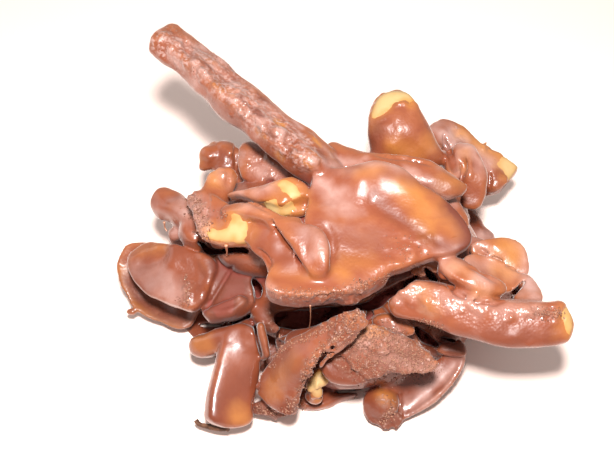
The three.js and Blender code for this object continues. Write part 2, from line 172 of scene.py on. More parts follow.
class Heap:
    """The set heap: depth is the distance in millimetres to the chocolate's surface, and the
    other fields say how its finish, its painted sheen and its painted shade change from place
    to place. Its mottle makes them ragged."""

    def __init__(self, low, high):
        self.start, stop = grown(low, high, MARGIN)
        self.shape = tuple(stop - self.start)
        self.depth = np.full(self.shape, REACH, np.float32)
        for name in FINISHES_AND_PAINTED_LIGHT:
            setattr(self, name, np.zeros(self.shape, np.float32))
        self.mottle = 0.7 * waves(self.shape, 1.6, 11) + 0.4 * waves(self.shape, 0.8, 12)

    def box(self, low, high, by):
        """The part of the grid between two corners, with room around it."""
        start, stop = grown(np.asarray(low, float), np.asarray(high, float), by)
        start = np.clip(start - self.start, 0, self.shape)
        stop = np.clip(stop - self.start, 0, self.shape)
        return tuple(slice(a, b) for a, b in zip(start, stop))

    def places(self, box):
        """The grid points of a box as three open arrays, in millimetres."""
        axes = [(np.arange(s.start, s.stop) + first) * STEP for s, first in zip(box, self.start)]
        return np.meshgrid(*axes, indexing="ij", sparse=True)

    def join(self, near, box, soft, rough=0.0):
        """Joins a shape, given as distances in a box, by a soft corner and under a whole coat."""
        old = self.depth[box]
        share = np.clip(0.5 + 0.5 * (old - near) / soft, 0, 1)
        self.depth[box] = old + (near - old) * share - soft * share * (1 - share)
        self.rough[box] += (rough - self.rough[box]) * share
        self.thin[box] -= self.thin[box] * share

    def cut(self, near, box, soft):
        """Takes a shape away, and leaves a soft edge."""
        old = self.depth[box]
        share = np.clip(0.5 - 0.5 * (old + near) / soft, 0, 1)
        self.depth[box] = old - (near + old) * share + soft * share * (1 - share)

    def add(self, piece, soft=MEETING, rough=0.0, uneven=1.0):
        """Lays a piece, given as points and triangles, in the heap."""
        points, faces = piece
        points = points + uneven * WANDER * (wander(points, COARSE) + FINER_SHARE * wander(points, FINER))
        box = self.box(points.min(0), points.max(0), REACH)
        scale = openvdb.createLinearTransform(voxelSize=STEP)
        grid = openvdb.FloatGrid.createLevelSetFromPolygons(
            points.astype(np.float32), triangles=faces.astype(np.uint32), transform=scale, halfWidth=BAND)
        near = np.empty(tuple(s.stop - s.start for s in box), np.float32)
        grid.copyToArray(near, ijk=tuple(int(s.start + first) for s, first in zip(box, self.start)))
        self.join(near, box, soft, rough)

    def value(self, field, points):
        """A field's value at points, between its grid points."""
        place = np.clip(points / STEP - self.start, 0, np.array(self.shape) - INSIDE)
        low = place.astype(int)
        part = place - low
        total = np.zeros(len(points))
        for corner in np.ndindex(2, 2, 2):
            weight = np.prod(np.where(corner, part, 1 - part), axis=1)
            i, j, k = (low + corner).T
            total += weight * field[i, j, k]
        return total

    def facing(self, points):
        """The direction away from the surface at points."""
        slope = np.stack([self.value(self.depth, points + step) - self.value(self.depth, points - step)
                          for step in np.eye(3) * STEP], 1)
        return slope / (np.linalg.norm(slope, axis=1)[:, None] + TINY)

    def chain(self, points, radii, reach=REACH):
        """Distance to a rope through points. It parts where they lie too far from each other."""
        radii = np.broadcast_to(np.asarray(radii, float), len(points))
        box = self.box(points.min(0) - radii.max(), points.max(0) + radii.max(), reach)
        x, y, z = self.places(box)
        near = np.full(np.broadcast_shapes(x.shape, y.shape, z.shape), reach, np.float32)
        for a, b, thick, end in zip(points, points[1:], radii, radii[1:]):
            along = b - a
            length = along @ along
            if length > PARTED ** 2:
                continue
            share = (x - a[0]) * along[0] + (y - a[1]) * along[1] + (z - a[2]) * along[2]
            share = np.clip(share / (length + TINY), 0, 1)
            far = np.sqrt((x - a[0] - share * along[0]) ** 2 + (y - a[1] - share * along[1]) ** 2
                          + (z - a[2] - share * along[2]) ** 2) - thick - (end - thick) * share
            near = np.minimum(near, far)
        return near.astype(np.float32), box

    def seen(self, places):
        """Where lines of sight from the front meet the surface, and which way it faces there. A
        place is in millimetres to the right of the middle and above it, as the eye sees them."""
        way = TOWARD * EYE_AWAY + np.outer(places[:, 0], [1, 0, 0]) + np.outer(places[:, 1], UPWARD)
        way /= np.linalg.norm(way, axis=1)[:, None]
        top = (self.start[2] + self.shape[2]) * STEP
        run = (top - EYE[2]) / way[:, 2]
        for _ in range(LOOKS):
            run += CAUTION * self.value(self.depth, EYE + way * run[:, None])
        points = EYE + way * run[:, None]
        met = points[:, 2] > ABOVE_TABLE
        return points[met], self.facing(points[met]), met

    def drawn(self, path):
        """A path in the front view as many places, and the surface under them."""
        path = flat(path)
        line = smooth(path) if len(path) > 1 else np.vstack([path, path])
        shares = np.linspace(0, 1, 2 + int(run_along(line)[-1] / CLOSE))
        points, facing, met = self.seen(spaced(line, shares))
        return points, facing, shares[met]

    def ridge(self, path, radius, height, soft=0.5, rough=0.0):
        """A raised line of chocolate, that runs out at its ends."""
        points, facing, shares = self.drawn(path)
        if len(points) < 2:
            return
        radius = between(radius, shares)
        height = height * tapering(path, shares, FADE)
        near, box = self.chain(points + facing * (height - radius)[:, None], radius)
        self.join(near, box, soft, rough)

    def lift(self, path, width, height):
        """A soft swelling of the surface about a path, or a hollow where its height is below 0."""
        points, _, _ = self.drawn(path)
        if len(points) < 2:
            return
        near, box = self.chain(points[::2] if len(points) > 6 else points, 0.0, LIFT_REACH * width)
        self.depth[box] -= height * np.exp(-(near / width) ** 2)

    def crease(self, path, radius, deep, soft=0.3, fade=FADE):
        """A furrow in the surface, that runs out at its ends."""
        points, facing, shares = self.drawn(path)
        if len(points) < 2:
            return
        rope = points + facing * (radius - deep * tapering(path, shares, fade))[:, None]
        near, box = self.chain(rope, radius)
        self.cut(near, box, soft)

    def gap(self, path, radius, deep):
        """A dark opening between two pieces, along the line of sight."""
        points, _, _ = self.drawn(path)
        if len(points) < 2:
            return
        shares = np.linspace(0, 1, GAP_PLACES)
        line = spaced(smooth(flat(path)), shares)[:, :2]
        radii = between(radius, shares)
        ends = points + TOWARD * deep
        low, high = np.minimum(points, ends).min(0), np.maximum(points, ends).max(0)
        box = self.box(low - radii.max(), high + radii.max(), GAP_ROOM)
        x, y, z = self.places(box)
        far = (y - EYE[1]) * TOWARD[1] + (z - EYE[2]) * TOWARD[2]
        u = (x - EYE[0]) * EYE_AWAY / far
        v = ((y - EYE[1]) * UPWARD[1] + (z - EYE[2]) * UPWARD[2]) * EYE_AWAY / far
        near = np.full(np.broadcast_shapes(u.shape, v.shape), REACH, np.float32)
        for a, b, thick, end in zip(line, line[1:], radii, radii[1:]):
            along = b - a
            share = ((u - a[0]) * along[0] + (v - a[1]) * along[1]) / (along @ along + TINY)
            share = np.clip(share, 0, 1)
            near = np.minimum(near, np.hypot(u - a[0] - share * along[0], v - a[1] - share * along[1])
                              - thick - (end - thick) * share)
        bottom = ((points - EYE) @ TOWARD).max() + deep
        near = np.maximum(near, far - bottom + GAP_RAGGED * self.mottle[box])
        self.cut(near.astype(np.float32), box, GAP_EDGE)

    def tint(self, field, path, radius, amount=1.0, ragged=0.5, edge=0.9):
        """A patch with an uneven border in which one of the fields is higher."""
        points, _, shares = self.drawn(path)
        if len(points) < 2:
            return
        near, box = self.chain(points, between(radius, shares))
        share = np.clip(0.5 - (near + ragged * self.mottle[box]) / edge, 0, 1)
        held = getattr(self, field)
        held[box] = np.maximum(held[box], amount * share)


def tube(rings, sides):
    """Triangles that join rings of points into a tube with a point at each end."""
    side = np.arange(sides)
    after = (side + 1) % sides
    first, last, end = rings * sides, rings * sides + 1, (rings - 1) * sides
    faces = [np.stack([np.full(sides, first), after, side], 1),
             np.stack([np.full(sides, last), end + side, end + after], 1)]
    for low in range(0, end, sides):
        high = low + sides
        faces.append(np.stack([low + side, low + after, high + after], 1))
        faces.append(np.stack([low + side, high + after, high + side], 1))
    return np.vstack(faces)


def lump(at, radii):
    """An egg shape as points and triangles."""
    turns, rings = 32, 16
    a = np.arange(turns) / turns * 2 * math.pi
    b = np.arange(1, rings) / rings * math.pi
    ring = np.stack([np.outer(np.sin(b), np.cos(a)), np.outer(np.sin(b), np.sin(a)),
                     np.outer(np.cos(b), np.ones(turns))], -1).reshape(-1, 3)
    points = np.vstack([ring, [0, 0, 1], [0, 0, -1]]) * radii + at
    return points, tube(rings - 1, turns)


heap = Heap(np.array(cad_low) / MM, np.array(cad_high) / MM)
for at, radii in (
    ([0, 0, 8], [18, 12, 8]), ([-11, 1, 7], [10, 9, 7]), ([14, 1, 8], [11, 10, 8]),
    ([5, -12, 5], [12, 8, 8]), ([17, -9.5, 5.5], [6, 5, 5.5]), ([4, 1, 18], [15, 9, 7]),
    ([-9, 1, 16], [8, 8, 6]), ([0, -1, 0], [24, 16.5, 3]),
):
    heap.add(lump(at, radii))

# The ties, far noodles and far flakes: crisp fried pieces, buried in the heap or on the side
# that the picture doesn't show. They were stirred in first and lie every way.
NOODLE_WIDTH = 6.0
NOODLE_DEPTH = 4.2
NOODLE_SIDES = 32
NOODLE_END_RINGS = 12
NARROWEST = 0.25
END_DEPTH = 0.4
EVENLY = np.linspace(0, 1, 200)
FLAKE_DEPTH = 2.8
FLAKE_RINGS = 12
FLAKE_SIDES = 24
FINE = 0.6  # between the rings of a noodle and along the rim of a flake


def noodle(path, wide, deep=1.0, roll=0.0, square=2.6, taper=0.9):
    """A coated noodle: a flat rounded section along its path, with rounded ends."""
    line = smooth(path)
    length = run_along(line)[-1]
    rings = NOODLE_END_RINGS + int(length / FINE)
    t = (1 - np.cos(np.linspace(0, math.pi, rings))) / 2
    middle = spaced(line, t)
    ahead = np.gradient(spaced(line, EVENLY), axis=0)
    ahead = np.stack([np.interp(t, EVENLY, ahead[:, k]) for k in range(3)], 1)
    ahead /= np.linalg.norm(ahead, axis=1)[:, None]
    across = np.cross([0, 0, 1], ahead)
    across /= np.linalg.norm(across, axis=1)[:, None]
    upward = np.cross(ahead, across)
    tilt = np.radians(between(roll, t))[:, None]
    across, upward = (across * np.cos(tilt) + upward * np.sin(tilt),
                      upward * np.cos(tilt) - across * np.sin(tilt))
    width = NOODLE_WIDTH / 2 * between(wide, t)
    run = np.minimum(1, np.minimum(t, 1 - t) * length / (taper * width))
    narrow = np.maximum(NARROWEST, np.sqrt(1 - (1 - run) ** 2))
    depth = NOODLE_DEPTH / 2 * deep * (END_DEPTH + (1 - END_DEPTH) * narrow)
    angle = np.arange(NOODLE_SIDES) / NOODLE_SIDES * 2 * math.pi
    bow = [np.sign(f) * np.abs(f) ** (2 / square) for f in (np.cos(angle), np.sin(angle))]
    points = (middle[:, None] + across[:, None] * (bow[0] * (width * narrow)[:, None])[..., None]
              + upward[:, None] * (bow[1] * depth[:, None])[..., None])
    return np.vstack([points.reshape(-1, 3), middle[0], middle[-1]]), tube(rings, NOODLE_SIDES)


def flake(rim, thick=1.0, bulge=0.8, sharp=6):
    """A coated flake: a plate with a round edge inside its rim, crowned by its bulge."""
    line = smooth(rim, closed=True)
    sides = max(FLAKE_SIDES, int(run_along(line)[-1] / FINE))
    edge = spaced(line, np.arange(sides) / sides)
    middle = edge.mean(0)
    facing = np.cross(edge - middle, np.roll(edge, -1, 0) - middle).sum(0)
    facing /= np.linalg.norm(facing)
    if facing[2] < 0:
        facing, edge = -facing, edge[::-1]
    rings = 2 * FLAKE_RINGS - 1
    share = 1 - np.abs(np.arange(1, rings + 1) - FLAKE_RINGS) / FLAKE_RINGS
    face = np.where(np.arange(1, rings + 1) < FLAKE_RINGS, -1, 1)
    reach = np.sin(math.pi / 2 * share)[:, None, None]
    half = (face * FLAKE_DEPTH / 2 * thick * np.sqrt(1 - share ** sharp))[:, None, None]
    points = middle + (edge - middle) * reach + facing * (half + bulge * (1 - reach ** 2))
    ends = middle + facing * (bulge + FLAKE_DEPTH / 2 * thick * np.array([[-1], [1]]))
    return np.vstack([points.reshape(-1, 3), ends]), tube(rings, sides)


for path in (
    [[8, -20, 14.5], [8, -15, 12], [6, -8, 12]],
    [[-3, -19, 13], [-2, -14, 11], [0, -9, 10]],
    [[-28, 1, 7.5], [-20, 0, 7], [-12, 0, 7]],
    [[-16, 15, 14], [-12, 11, 14], [-8, 8, 16]],
    [[21, 23, 13], [17, 18, 13], [10, 8, 14]],
    [[28, -5, 15.5], [21, -3, 15], [14, -2, 14]],
    [[30, -7, 12.5], [24, -5, 11], [16, -3, 11]],
    [[-13.5, -2.5, 17], [-15, 2, 17.5], [-12, 7, 17]],
    [[-7, 8, 20], [1, 8.5, 21], [9, 6, 21]],
    [[-3, -8, 19], [3, -7, 20], [9, -8, 20]],
    [[11, 6, 21], [17, 3, 19.5], [20, -3, 17]],
):
    heap.add(noodle(path, wide=[0.75, 0.95, 0.85]))
for path in (
    [[-15, 15, 4], [-5, 18, 6], [5, 19, 7], [13, 17, 6]],
    [[-9, 12, 17], [-1, 15, 12], [7, 18, 6], [12, 20, 2]],
    [[-11, 9, 15], [-17, 12, 9], [-21, 15, 2]],
    [[15, 19, 2.5], [22, 14, 3], [27, 5, 3]],
    [[19, 0, 14], [25, -1, 9], [28, -2, 2]],
    [[8, 10, 20], [12, 15, 14], [15, 18, 8]],
):
    heap.add(noodle(path, wide=[0.8, 1, 0.9]))
for rim in (
    [[-11, 12, 9], [-7, 12, 17], [0, 11, 20], [6, 12, 17], [5, 15, 9], [-3, 16, 6]],
    [[12, 14, 14], [18, 12, 15], [22, 8, 12], [24, 8, 6], [20, 14, 3], [12, 17, 5]],
    [[-21, 3, 4], [-24, 8, 3], [-19, 13, 3], [-13, 12, 8], [-14, 6, 12], [-19, 3, 9]],
    [[19, -12, 6], [22, -10, 12], [25, -5, 13], [26, -1, 8], [24, -5, 2], [19, -10, 2]],
    [[13, -8, 18], [18, -6, 19], [21, 2, 16], [18, 5, 11], [15, -3, 12]],
):
    heap.add(flake(rim))

# The front: a leaf with a lobe on its left, a broad strip with a jagged foot, rough bark and a
# curled shell, all crisp pieces that slid down the spoon last. They hang on the chocolate behind
# them, over a small puddle, and a crumb of peanut is caught beside the strip.
def level(u, v, height):
    """The point at this height above the table that is seen at a place in the front view."""
    way = TOWARD * EYE_AWAY + u * np.array([1, 0, 0]) + v * UPWARD
    return EYE + way * (height - EYE[2]) / way[2]


def shown(shape, places, soft=MEETING, rough=0.0, uneven=1.0, **form):
    """Adds a piece that the picture shows, by its kind and its places in the front view, each
    with its height above the table."""
    points = np.array([level(*place) for place in places])
    heap.add(shape(points, **form), soft, rough, uneven)


shown(noodle, [  # the leaf
    (-9, -14.4, 10.7), (-10.2, -18.3, 8.9), (-10.9, -22.1, 7.5), (-11.7, -26, 6.2), (-12, -30.1, 4.9),
], wide=[0.7, 1.0, 1.12, 1.15, 1.16], deep=0.75,
    roll=[20, -15, -24, -26, -26], square=5, taper=0.45, uneven=0.0)
shown(flake, [  # its lobe
    (-17.4, -17.2, 6.5), (-16.5, -15.9, 7.4), (-13, -15, 8.8), (-10, -15, 10), (-11.5, -17, 9),
    (-14, -19, 6.5), (-16.8, -18.9, 5.6),
], bulge=0.9, soft=1.0)
shown(noodle, [  # the broad strip
    (8.5, -12.2, 23), (5, -15, 20), (1.2, -17.8, 16.8), (-1.9, -20.5, 13.3), (-3.9, -23.6, 9.8),
    (-4.9, -26.3, 7.2),
], wide=[0.5, 0.66, 0.9, 1.08, 1.16, 1.08], deep=0.7, roll=12, square=4.0, taper=0.3)
shown(lump, [(-4.6, -25.4, 5.2)], radii=[2.0, 1.8, 2.6])  # behind its foot
for place, radii, rough in (  # the strip's jagged foot
    ((-5, -26.9, 3.6), [2.8, 1.4, 1.8], 0.9), ((-7.4, -27.3, 3), [1.2, 0.8, 1.0], 0.5),
    ((-5, -28, 2.4), [1.2, 0.8, 1.0], 0.9), ((-2.4, -27.3, 2.6), [1.4, 0.8, 1.0], 0.9),
):
    shown(lump, [place], radii=radii, rough=rough)
shown(flake, [  # the bark
    (4.3, -17.4, 15), (6, -15.8, 16.5), (8, -14.8, 17.2), (10, -14.4, 17.4), (12.2, -15, 17),
    (14.5, -16.2, 16.5), (17.3, -18.1, 15.5), (19.6, -20, 14.5), (19.6, -21, 14), (18.5, -21.6, 13.6),
    (15.5, -21.5, 13.8), (13, -21.2, 14), (10.5, -21.9, 13.6), (8, -22.6, 13), (6, -21.6, 13.2),
    (4.2, -19.6, 14),
], thick=0.95, bulge=0.3, rough=1.0)
shown(flake, [  # the smooth piece under it
    (2.6, -20.2, 12.5), (4, -19.3, 13.3), (6.5, -20.8, 13.2), (9.5, -22.2, 12.8), (8.5, -23.1, 12.2),
    (4.8, -23.3, 11.6), (3.3, -22.2, 11.8),
], thick=0.8)
shown(flake, [  # the shell
    (8.8, -25.6, 3.4), (10.5, -23.6, 4.3), (16, -22, 4.7), (20, -19.4, 6.2), (23.6, -17.6, 7.8),
    (23.9, -20, 6.9), (22.7, -22.6, 5.6), (19.8, -25.8, 3.6), (15.8, -28.3, 2), (12, -29.5, 1.4),
    (9.6, -29.4, 1.4), (8.5, -27.6, 2.4),
], thick=0.7, bulge=-0.7, uneven=0.2)
shown(lump, [(11.2, -26.1, 3.6)], radii=[2.7, 2.4, 2.2])  # the knob at its left end
shown(lump, [(12.2, -28.2, 2.2)], radii=[2.4, 1.6, 1.5], rough=0.8)  # the knob's rough underside
shown(flake, [  # a small flake behind the bark
    (10, -13.2, 15.6), (12.5, -12.6, 16.2), (14.8, -13.7, 15.6), (16.2, -15.8, 14.4), (14, -16.5, 14),
    (10.5, -15, 14.6),
], thick=0.6, bulge=0.4)
shown(flake, [  # a small flake behind the shell
    (20, -16.8, 8.9), (23.5, -16.8, 8.9), (24, -18.5, 8.2), (22.5, -19.3, 7.6), (19.5, -18.6, 8),
], thick=0.6, bulge=0.3)
heap.add(noodle([  # a tie behind them
    [-10, -9, 10], [-4, -12, 9.5], [2, -14.5, 9],
], wide=[0.8, 0.95, 0.85]))
shown(lump, [(-6.3, -12, 18.5)], radii=[1.1, 1.2, 1.7])  # under the lip's left end
shown(noodle, [  # a sliver between leaf and strip
    (-7.1, -13.8, 12.6), (-6.7, -16.3, 11.4), (-6, -19.4, 10),
], wide=[0.18, 0.22, 0.2])
shown(noodle, [(-9.6, -13, 9), (-10.2, -17, 7.2)], wide=[0.67, 0.67])  # a tie behind the leaf
for place, radii in (  # the peanut crumb
    ((2, -22.9, 7.6), [1.6, 1.3, 1.5]), ((0.9, -23.8, 7), [1.2, 1.2, 1.3]),
    ((1.6, -24.6, 6), [1.2, 1.1, 1.2]), ((1.2, -25.4, 4.2), [1.2, 1.1, 1.4]),
):
    shown(lump, [place], radii=radii, soft=0.3)
shown(flake, [  # the puddle
    (-1.5, -26.2, 0.7), (1, -27.3, 0.7), (3.5, -26.9, 0.7), (6, -25.6, 0.7), (8, -24.6, 0.7),
    (4, -21, 0.7), (-1, -21, 0.7),
], thick=0.6, bulge=0.2)

# The left side: a dished flake that curls up at its rim, the folded flake that lies on it, and
# two plates that meet at a ridge. They are thin crisps, propped on the ties in the heap.
shown(flake, [  # the dished flake
    (-26.5, -2.2, 9), (-28.3, -4, 7.8), (-28.8, -7, 6), (-27.9, -10, 4.6), (-25.4, -12.5, 3.4),
    (-22, -14.4, 2.7), (-18.6, -15, 2.9), (-16.6, -13.6, 4), (-15, -8, 8), (-21, -3, 10),
], thick=0.5, bulge=-2.4)
shown(flake, [  # the folded flake
    (-27, -5.2, 9.8), (-26, -3.4, 10.3), (-24, -2.1, 11.3), (-21, -2.2, 12.7), (-17.5, -3.2, 14),
    (-14.5, -4.3, 14.3), (-13.4, -6, 13.8), (-14.5, -9, 12.8), (-15.8, -11, 12), (-17.5, -12, 11.5),
    (-20.5, -11.6, 10.9), (-24, -10, 10), (-26.3, -7.6, 9.6),
], thick=0.75, bulge=0.3, uneven=0.5)
shown(lump, [(-27, -12.4, 3.6)], radii=[0.8, 0.6, 0.6], soft=0.3)  # a small drop
shown(lump, [(-18.4, -17.4, 5.4)], radii=[0.8, 0.7, 0.6], soft=0.3)  # another
shown(flake, [  # the plates
    (-13.8, -4.4, 12.8), (-10, -3.9, 13.4), (-8.8, -6, 13.4), (-8.2, -9, 13), (-7.9, -11, 12.4),
    (-9, -12.3, 11.8), (-12, -13.1, 11.3), (-15, -13.2, 10.8), (-15.6, -12, 10.8), (-14, -9, 12),
], thick=0.7, bulge=0.1, uneven=0.4)
shown(noodle, [  # their lower edge
    (-15.3, -13, 10.8), (-12, -12.4, 11.8), (-9, -10.8, 12.8),
], wide=[0.4, 0.5, 0.3])

# The hand: finger, palm, thumb and prong, small broken noodles and flakes that lie together, and
# the leg and tongue of chocolate beside them. Lumps of chocolate bridge what lies apart.
heap.add(noodle([  # the finger
    [-26, 6.5, 14.5], [-23, 6, 15], [-18.5, 2, 16.5], [-12, -1, 17],
], wide=[0.85, 0.67, 0.75, 0.8]))
shown(flake, [  # the palm
    (-18, 5, 22), (-16, 5.4, 23), (-13, 4.8, 24), (-10.5, 3.4, 24.8), (-8.5, 1.5, 25.2),
    (-8, -1.3, 24.8), (-9.5, -1.8, 24.2), (-13, -1.9, 23.2), (-15.5, -1.1, 22.5), (-16.7, 1, 22),
    (-18, 3, 21.8),
], thick=0.95, bulge=0.3)
shown(flake, [  # the thumb
    (-15.4, 4.8, 22.2), (-15.3, 7, 22.9), (-14.4, 8.7, 23.5), (-12.6, 9.4, 23.8), (-11.2, 9.2, 23.8),
    (-10.8, 7.8, 23.4), (-11.4, 6, 23.2), (-12.6, 4.2, 23.2),
], thick=0.7, bulge=0.3, sharp=10, soft=1.0)
shown(lump, [(-14, 5, 22.8)], radii=[2.0, 1.6, 1.2], soft=1.4)  # between palm and thumb
shown(noodle, [  # the short crisp under the palm
    (-19, 0.4, 15.4), (-17.6, -1.2, 15.2), (-15.6, -2.6, 15),
], wide=[0.35, 0.42, 0.4])
shown(lump, [(-19.9, -0.4, 13.6)], radii=[1.3, 1.2, 1.0], soft=0.8)  # a drop at its end
shown(lump, [(-3, 3.3, 24.8)], radii=[3.4, 1.6, 1.6])  # under the prong
shown(flake, [  # the prong
    (-11.8, 4.9, 24.6), (-9, 5.8, 25.2), (-6, 6.6, 25.8), (-2, 7.2, 26.4), (0.2, 6.3, 26.6),
    (0.5, 5, 26.6), (-1, 4.2, 26.4), (-4, 3.1, 26), (-6.5, 3.7, 25.5), (-9.5, 4.5, 24.9),
], thick=0.75, bulge=0.5)
shown(lump, [(-8.2, 1, 24.4)], radii=[1.8, 1.6, 1.6], soft=1.0)  # between palm and leg
shown(flake, [  # the leg
    (-8.6, -0.8, 24.6), (-6.5, 1, 25.4), (-4.5, 0.6, 25.8), (-2.5, -1.8, 25.6), (-1, -4.2, 25.2),
    (-0.5, -5.8, 24.8), (-3, -6.4, 24.2), (-5.4, -6.2, 23.8), (-6.6, -4.4, 23.9), (-8.4, -2.8, 24),
], thick=0.9, bulge=0.2, soft=1.2, uneven=0.2)
shown(lump, [(-2.2, -6, 23.6)], radii=[2.6, 1.6, 1.6], soft=1.6)  # the leg's foot
shown(flake, [  # a rough chip beside the leg
    (-9, -4.3, 20.6), (-7.5, -3.8, 21), (-5.8, -4.8, 21.4), (-5.5, -6.4, 21), (-6.9, -7.3, 20.4),
    (-8.2, -6.6, 20.2),
], thick=0.9, bulge=0.3, rough=0.5)
shown(noodle, [  # the ridge
    (-12.6, 2.9, 25.4), (-9.5, 3, 26.6), (-6.3, 2.1, 27.4), (-3.4, 1.2, 27.6), (-0.6, 1, 27.6),
], wide=[0.3, 0.38, 0.33, 0.3, 0.4], deep=0.5, soft=0.9)
shown(flake, [  # the tongue
    (-5, 1.1, 27.6), (-2, 1.3, 28), (0.8, 0.7, 28.3), (2.6, -0.6, 28.3), (3.4, -2.6, 28),
    (3.3, -5, 27.3), (2.8, -7, 26.4), (1, -7.2, 26), (-0.7, -5.2, 26.6), (-2.3, -2.4, 27.1),
    (-3.9, -0.2, 27.4),
], thick=0.75, bulge=0.2, soft=0.9, uneven=0.5)

# The back: the strip, the knob of lobes beside it, the crisps behind the broad flake, and the
# long noodle that stands out. They are fried crisps that leaned on the heap while it was warm.
shown(flake, [  # the strip
    (-10.3, 12.3, 20.7), (-9.2, 13.4, 21.2), (-7, 13, 21.4), (-4, 11, 21.4), (-1.5, 8.4, 21),
    (-6, 7, 19.9), (-9, 6.9, 19.4), (-10.3, 8, 19.6),
], bulge=0.6)
for place, radii, soft in (  # the knob's lobes
    ((-13.6, 12.8, 15.4), [1.2, 0.9, 0.9], 0.8), ((-14.6, 11.1, 15.2), [2.0, 1.8, 1.6], 1.2),
    ((-12.2, 11.7, 15.8), [1.9, 2.2, 1.9], 1.2), ((-15.4, 9.7, 14.2), [0.9, 0.9, 0.9], 0.8),
):
    shown(lump, [place], radii=radii, soft=soft)
heap.add(noodle([  # a noodle behind the broad flake
    [0.5, 8.5, 24.5], [6.5, 5.5, 25.5], [13.5, 4.5, 25], [20, 2, 23.5],
], wide=[0.65, 0.7, 0.85, 0.6], deep=0.6))
shown(flake, [  # a flat strip behind the broad flake
    (8, 10.9, 25), (13, 10.5, 25.3), (18, 9.2, 25), (21.5, 7.9, 24.6), (24.4, 6.5, 24),
    (24.5, 5.8, 23.8), (23.3, 5, 23.8), (19, 6, 24.5), (13, 8.5, 25),
], thick=0.6, bulge=0.5)
heap.add(noodle([  # the long noodle
    [-24.3, 25.8, 31.2], [-17.1, 19.5, 30], [-10.2, 12.8, 28.5], [-3, 6.7, 27], [2, 3.4, 24.5],
], wide=[0.92, 1.02, 1.14, 1.16, 1.1], deep=0.98, roll=-18, square=4, taper=0.4))

# The nut side: half a blanched nut, a bar of crisp behind it, and the bent noodle in front. The
# last noodle is hidden under them and holds them to the heap.
shown(flake, [  # the nut
    (10.6, 19.9, 24.5), (12.5, 21.2, 25), (14.7, 21.3, 25), (16.4, 19.8, 24.5), (18.2, 16.5, 22.6),
    (19.8, 13.3, 20.3), (20.6, 10.5, 18), (16, 8.5, 16.5), (10.5, 9.5, 17.5), (9.2, 13, 20),
    (9.3, 16.6, 22.6),
], thick=1.3, bulge=2.2, uneven=0.5)
shown(flake, [  # the bar
    (19.8, 16.3, 13.5), (23, 15.3, 13), (27, 12.5, 12), (31.3, 9.6, 10.5), (31.5, 8.6, 10),
    (29.8, 6, 9.5), (27.5, 5.9, 9.5), (24, 8.5, 11), (20.5, 11.5, 12.5),
], thick=1.2, bulge=0.2, uneven=0.4)
shown(noodle, [  # the bent noodle
    (22.3, 11.4, 18.5), (24, 11.2, 19.3), (25.1, 9.3, 19), (25.2, 6.4, 17.6), (24.8, 2.6, 15.3),
], wide=[0.5, 0.6, 0.64, 0.62, 0.5], deep=0.8, square=3.2)
heap.add(noodle([[20, 13.5, 18.5], [20, 7.5, 18.5]], wide=[0.5, 0.5], deep=0.75))  # a tie under them

# The right: three thin plates, the thick noodle that stands out and the short one over its root.
# They are fried crisps, and the plates are the thinnest flakes in the heap.
shown(flake, [  # the plate at the end
    (33.2, -7, 20.4), (34.8, -8.6, 21.2), (36, -10.6, 22.4), (34, -12.4, 23), (31.6, -10.8, 22.2),
    (31.8, -8.4, 21),
], thick=0.45, bulge=0.2, uneven=0.5)
shown(flake, [  # the far plate
    (25.5, -1.7, 19.2), (28.5, -1.3, 19.3), (31.3, -1.6, 19), (33.1, -3.2, 18.4), (33.4, -6.6, 17.4),
    (31.4, -6.4, 17.4), (28, -4.6, 18), (25, -3.4, 18.5),
], thick=0.35, bulge=0.2, sharp=12, uneven=0.4)
shown(flake, [  # the near plate
    (23.8, -4.2, 22.4), (26.5, -3.7, 22), (29.5, -4.9, 21.4), (33, -7.2, 20.4), (31.8, -8.6, 20.8),
    (30.4, -9.6, 21.2), (27, -8, 22.2), (24, -6.4, 22.8),
], thick=0.4, bulge=-0.2, uneven=0.4)
shown(noodle, [  # the thick noodle
    (12.6, -10, 20.7), (18, -10.8, 21.3), (24, -12.8, 21.7), (30, -14.2, 22), (36, -14.3, 22.2),
    (40, -14, 22.2),
], wide=[0.8, 1.0, 0.98, 1.0, 1.03, 1.0], deep=1.0,
    roll=[40, 41, 40, 39, 28], square=3.1, taper=0.5, uneven=0.6)
shown(noodle, [  # the short noodle
    (20, -4.9, 24.4), (22.6, -6.2, 24.6), (25.6, -8.1, 24.2), (28.6, -9.3, 23.4), (30.2, -9.5, 23),
], wide=[0.5, 0.6, 0.6, 0.55, 0.3], deep=0.7, square=3)

# The broad flake on top: the widest crisp, laid on last and set in place by its own coat. Its
# chocolate ran to the front and hangs over the edge there as a thick lip.
shown(flake, [  # the broad flake
    (1.5, 8.9, 26.6), (5, 9, 27), (10, 9.5, 27.4), (13.5, 9, 27.4), (16.5, 7.3, 27.2), (20, 5.2, 26.9),
    (23, 2.5, 26.5), (24.8, -0.3, 26.1), (24.5, -2.5, 25.8), (22, -3.9, 25.4), (18, -4.8, 25.2),
    (15, -6, 24.9), (12, -7.2, 24.6), (9, -8, 24.4), (5, -8.4, 24.2), (1, -8.2, 24.2), (-1, -5, 25),
    (-0.8, 0, 26), (0, 5, 26.4),
], thick=0.85, bulge=0.3, sharp=10, uneven=0.5)
shown(flake, [  # its lip
    (-6.2, -8.4, 23.8), (-5.4, -6.8, 24), (-3, -6, 24.1), (1, -5.6, 24.2), (5, -6, 24.2),
    (9, -6.6, 24.1), (12, -7.6, 24), (9, -9.4, 24), (5, -10.3, 24.2), (1, -10.8, 24.3),
    (-3, -10.7, 24.2), (-5.6, -10, 24.1),
], thick=1.2, bulge=0.0, sharp=18, soft=1.5, uneven=0.2)

# The long noodle's coat: a ridge along its lower left edge, a notch near the tip, and blisters
# where air came out of the fried crisp through the warm chocolate.
BLISTER_SOFT = 0.25
LONG_NOODLE_WAY = 0.75, -0.66  # how it runs in the front view


